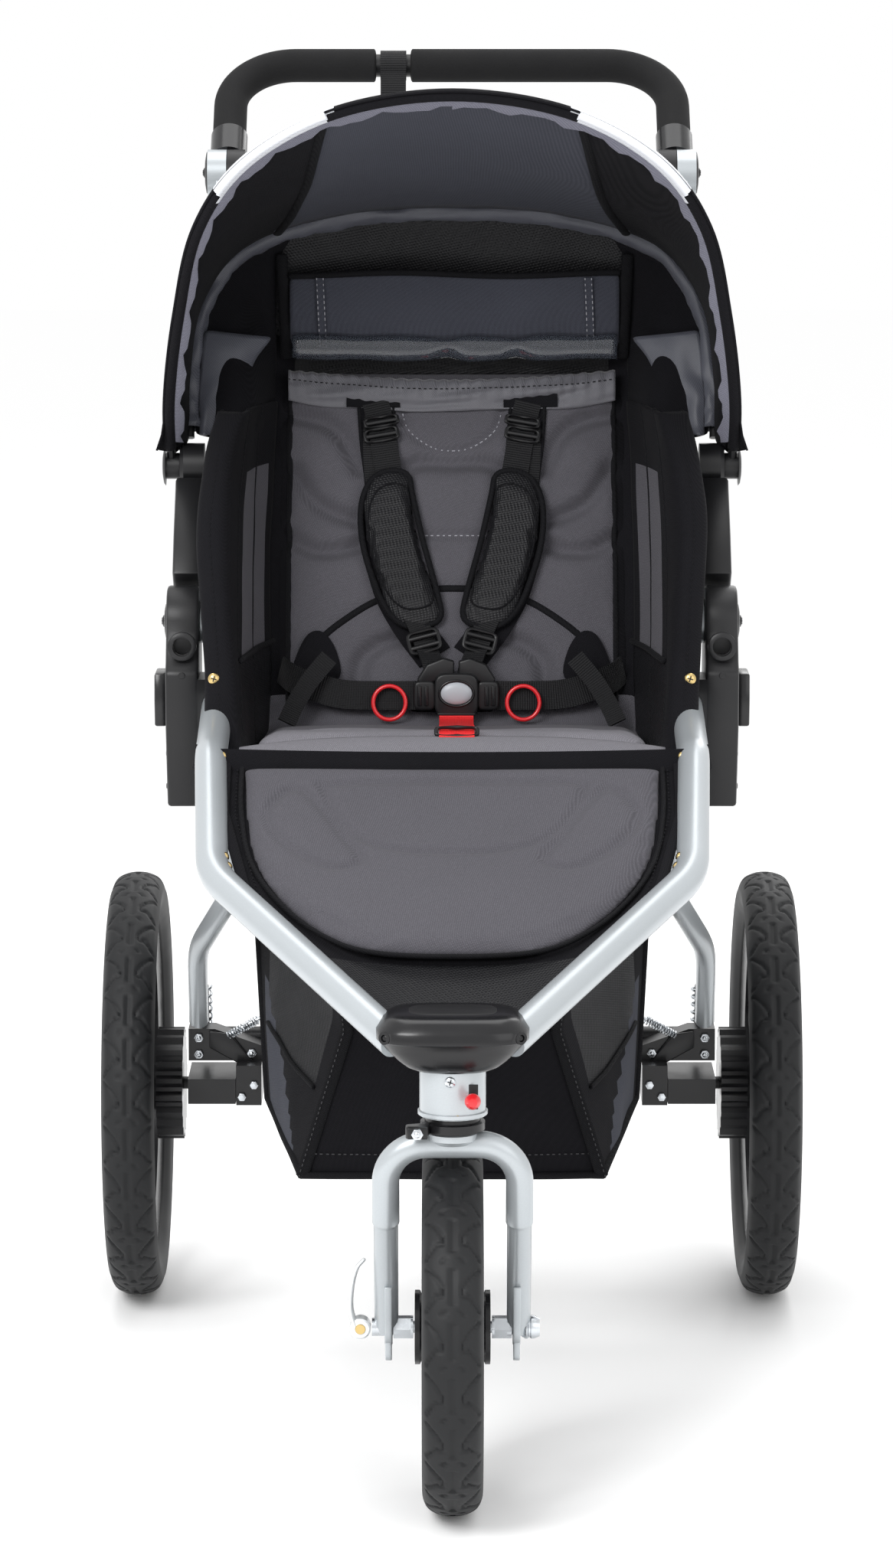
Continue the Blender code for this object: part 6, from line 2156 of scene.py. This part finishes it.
def basket():
    """The cloth basket: walls, floor, rear wall, bindings and stitches."""
    def corner(values, sign):
        return at(sign * values[0], values[1], values[2])

    rows = []
    levels = 17
    for i in range(levels):
        s = i / (levels - 1)
        row = []
        for sign in (-1, 1):
            low_front, low_rear = corner(BASKET_LOW_FRONT, sign), corner(BASKET_LOW_REAR, sign)
            top_rear = corner(BASKET_TOP_REAR, sign)
            front_top, side_top = corner(BASKET_FRONT_TOP, sign), corner(BASKET_SIDE_TOP, sign)
            seam = low_front.lerp(
                front_top, min(1.0, s / 0.82),
            ) if s < 0.82 else front_top.lerp(side_top, (s - 0.82) / 0.18)
            back = low_rear.lerp(top_rear, s)
            side_row = []
            for k in range(25):
                t = k / 24
                point = seam.lerp(back, t)
                out = Vector((sign * 0.95, -0.3, 0))
                belly = 0.007 * math.sin(math.pi * t) * math.sin(math.pi * min(1, s * 1.05))
                ripple = 0.0030 * noise.noise(
                    Vector((t * 3.2 + sign * 4, s * 3.1, 0.6))
                ) * math.sin(math.pi * t)
                side_row.append(
                    point + out * (belly + ripple - 0.003) + Vector(
                        (0, 0, -0.003 * math.sin(math.pi * t) * (1 - s))
                    )
                )
            if sign < 0:
                row += list(reversed(side_row))
            else:
                ends = row[-1], side_row[0]
                for k in range(1, 24):
                    t = k / 24
                    point = ends[0].lerp(ends[1], t)
                    drop = max(0.0, s - 0.82) / 0.18
                    point.z -= drop * 0.033 * min(1.0, 5 * min(t, 1 - t))
                    bow_out = 0.010 * math.sin(math.pi * t) * math.sin(math.pi * min(1, s * 1.1 + 0.05))
                    ripple = 0.0025 * noise.noise(Vector((t * 4.1, s * 3.0, 2.6)))
                    point.y -= bow_out + ripple
                    row.append(point)
                row += side_row
        rows.append(row)
    total = len(rows[0]) - 1

    def bag_finish(row, column):
        place = column * total
        side = place if place < 24 else (total - place if place > total - 24 else None)
        if side is None:
            return 0
        t = 1 - side / 24  # 0 at the front seam, 1 at the rear edge
        inner = 0.86 - 0.60 * math.cos(
            min(1.0, max(0.0, row / 0.62)) * math.pi / 2
        ) ** 1.4 if row < 0.62 else 2.0
        if t > inner and t < 0.93:
            return 1
        if row > 0.42 and 0.12 < t < 0.84:
            return 2
        return 0

    bag = sheet("basket_walls", rows, [BLACK, SLATE, MESH], 0.0018, 1, bag_finish)
    ride(bag, "frame", ["basket"])

    floor_rows = []
    count = 21
    left, right = rows[0][24], rows[0][total - 24]
    rear_left, rear_right = rows[0][0], rows[0][total]
    for i in range(13):
        t = i / 12
        a, b = left.lerp(rear_left, t), right.lerp(rear_right, t)
        row = []
        for k in range(count):
            u = k / (count - 1)
            point = a.lerp(b, u)
            point.z -= 0.006 * math.sin(math.pi * u) * math.sin(math.pi * t) ** 0.5
            point.z += 0.002 * noise.noise(Vector((u * 4, t * 3, 7)))
            if i == 0:
                nearest = rows[0][24 + round(u * (total - 48))]
                point.y = nearest.y
            row.append(point)
        floor_rows.append(row)
    made = sheet("basket_floor", floor_rows, BLACK, 0.0018, 1)
    ride(made, "frame")

    rear_rows = []
    for i in range(9):
        s = i / 8
        a, b = rows[round(s * 16)][0], rows[round(s * 16)][total]
        row = []
        for k in range(21):
            u = k / 20
            point = a.lerp(b, u)
            point.y += 0.008 * math.sin(math.pi * u) * math.sin(math.pi * s)
            row.append(point)
        rear_rows.append(row)
    made = sheet(
        "basket_rear_wall", rear_rows, [BLACK, MESH], 0.0018, 1, lambda row,
        column: int(row > 0.25 and 0.1 < column < 0.9),
    )
    ride(made, "frame")

    trims = []
    for sign in (-1, 1):
        edge = [row[0] if sign < 0 else row[total] for row in rows]
        bottom = [floor_rows[12 - k][0] if sign < 0 else floor_rows[12 - k][-1] for k in range(13)]
        outline = [edge[16 - k] for k in range(17)] + [p for p in bottom[1:]]
        trims.append(tube("edge", outline, (0.0045, 0.0040), BINDING, 10, (1, 0, 0), 0.001))
        seam = [row[24] if sign < 0 else row[total - 24] for row in rows]
        trims.append(
            tube(
                "seam", [p + Vector((0, -0.003, 0)) for p in seam], (0.0058, 0.0022), BINDING, 10,
                (1, 0, 0), 0.001,
            )
        )
        row_line = [p + Vector((sign * 0.0028, -0.0060, 0)) for p in seam]
        trims.append(stitches("seam_rows", row_line, [Vector((0, -1, 0))] * len(row_line), BLACK_THREAD))
        pocket = []
        for k in range(13):
            t = 0.12 + 0.70 * k / 12
            column = round(24 * (1 - t)) if sign < 0 else total - round(24 * (1 - t))
            pocket.append(rows[7][column] + Vector((sign * 0.002, -0.0025, 0)))
        trims.append(tube("pocket", pocket, 0.0020, BINDING, 8, (0, 0, 1), 0.0008))
    low = [p + Vector((0, -0.0030, 0.0005)) for p in rows[0][24 : total - 23]]
    trims.append(tube("low", low, (0.0034, 0.0028), BINDING, 10, (0, 0, 1), 0.001))
    hem = [p + Vector((0, -0.0028, -0.004)) for p in rows[16][25 : total - 24]]
    trims.append(tube("hem", hem, (0.0100, 0.0018), BLACK, 10, (0, 0, 1), 0.001))
    for offset in (-0.008, 0.007):
        seam = [p + Vector((0, -0.0024, offset)) for p in hem]
        trims.append(stitches("hem_rows", seam, [Vector((0, -1, 0))] * len(seam), BLACK_THREAD))
    cuff = [rows[2][k] + Vector((0, -0.0024, 0)) for k in range(24, total - 23)]
    trims.append(stitches("cuff_rows", cuff, [Vector((0, -1, 0))] * len(cuff), BLACK_THREAD))
    ride(merged("basket_bindings", trims), "frame")



canopy()
rear_sleeve()
rear_window()
seat_lip()
side_drapes()
basket()


# ---------------------------------------------------------------- floor, light and camera
FLOOR_HALF = 14.0
FLOOR_TONE = 0.985
FLOOR_MOTTLE = 0.004
WORLD_STRENGTH = 1.0
KEY_POWER = 85.0  # watts, as for the other lights
FILL_POWER = 14.0
TOP_POWER = 36.0
BACK_POWER = 14.0
CAMERA_AHEAD = 4.300  # metres ahead of the front axle
CAMERA_HEIGHT = 1.290
CAMERA_X = -0.005
CAMERA_TILT = 9.0  # degrees down
CAMERA_LENS = 123.05  # millimetres on a sensor 36 mm long


def stage():
    """Floor, white surroundings, four soft lights and the camera."""
    corners = [
        (-FLOOR_HALF, -FLOOR_HALF, 0), (FLOOR_HALF, -FLOOR_HALF, 0), (FLOOR_HALF, FLOOR_HALF, 0),
        (-FLOOR_HALF, FLOOR_HALF, 0),
    ]
    made = Nodes("pale_floor")
    made.shader.inputs["Roughness"].default_value = 0.9
    made.shader.inputs["Specular IOR Level"].default_value = 0.0
    tone = made.maths("ADD", made.maths("MULTIPLY", made.noise(1.5), FLOOR_MOTTLE), FLOOR_TONE)
    grey = made.add("ShaderNodeCombineColor")
    for part in grey.inputs:
        made.join(tone, part)
    made.join(grey.outputs[0], made.shader.inputs["Base Color"])
    floor = piece("floor", corners, [(0, 1, 2, 3)], made.material)

    world = bpy.data.worlds.new("studio")
    bpy.context.scene.world = world
    world.use_nodes = True
    world.node_tree.nodes["Background"].inputs["Color"].default_value = (1.0, 1.0, 1.0, 1)
    world.node_tree.nodes["Background"].inputs["Strength"].default_value = WORLD_STRENGTH

    lights = [  # name, place, aim, size, power
        ("key", (-1.6, -2.6, 2.6), (0, 0, 0.7), 1.6, KEY_POWER),
        ("fill", (2.0, -2.4, 1.6), (0, 0, 0.6), 2.0, FILL_POWER),
        ("top", (0.0, 0.6, 3.2), (0, 0, 0.6), 2.4, TOP_POWER),
        ("back", (0.9, 2.4, 2.0), (0, 0, 0.7), 1.4, BACK_POWER),
    ]
    for name, place, aim, size, power in lights:
        data = bpy.data.lights.new(name, "AREA")
        data.energy = power
        data.size = size
        lamp = bpy.data.objects.new(name, data)
        bpy.context.scene.collection.objects.link(lamp)
        lamp.location = place
        lamp.rotation_euler = (Vector(aim) - Vector(place)).to_track_quat("-Z", "Y").to_euler()

    data = bpy.data.cameras.new("camera")
    data.lens = CAMERA_LENS
    data.sensor_width = 36.0
    camera = bpy.data.objects.new("camera", data)
    bpy.context.scene.collection.objects.link(camera)
    camera.location = at(CAMERA_X, -CAMERA_AHEAD, CAMERA_HEIGHT)
    camera.rotation_euler = (math.radians(90 - CAMERA_TILT), 0, 0)
    bpy.context.scene.camera = camera
    bpy.context.scene.view_settings.view_transform = "Standard"


stage()
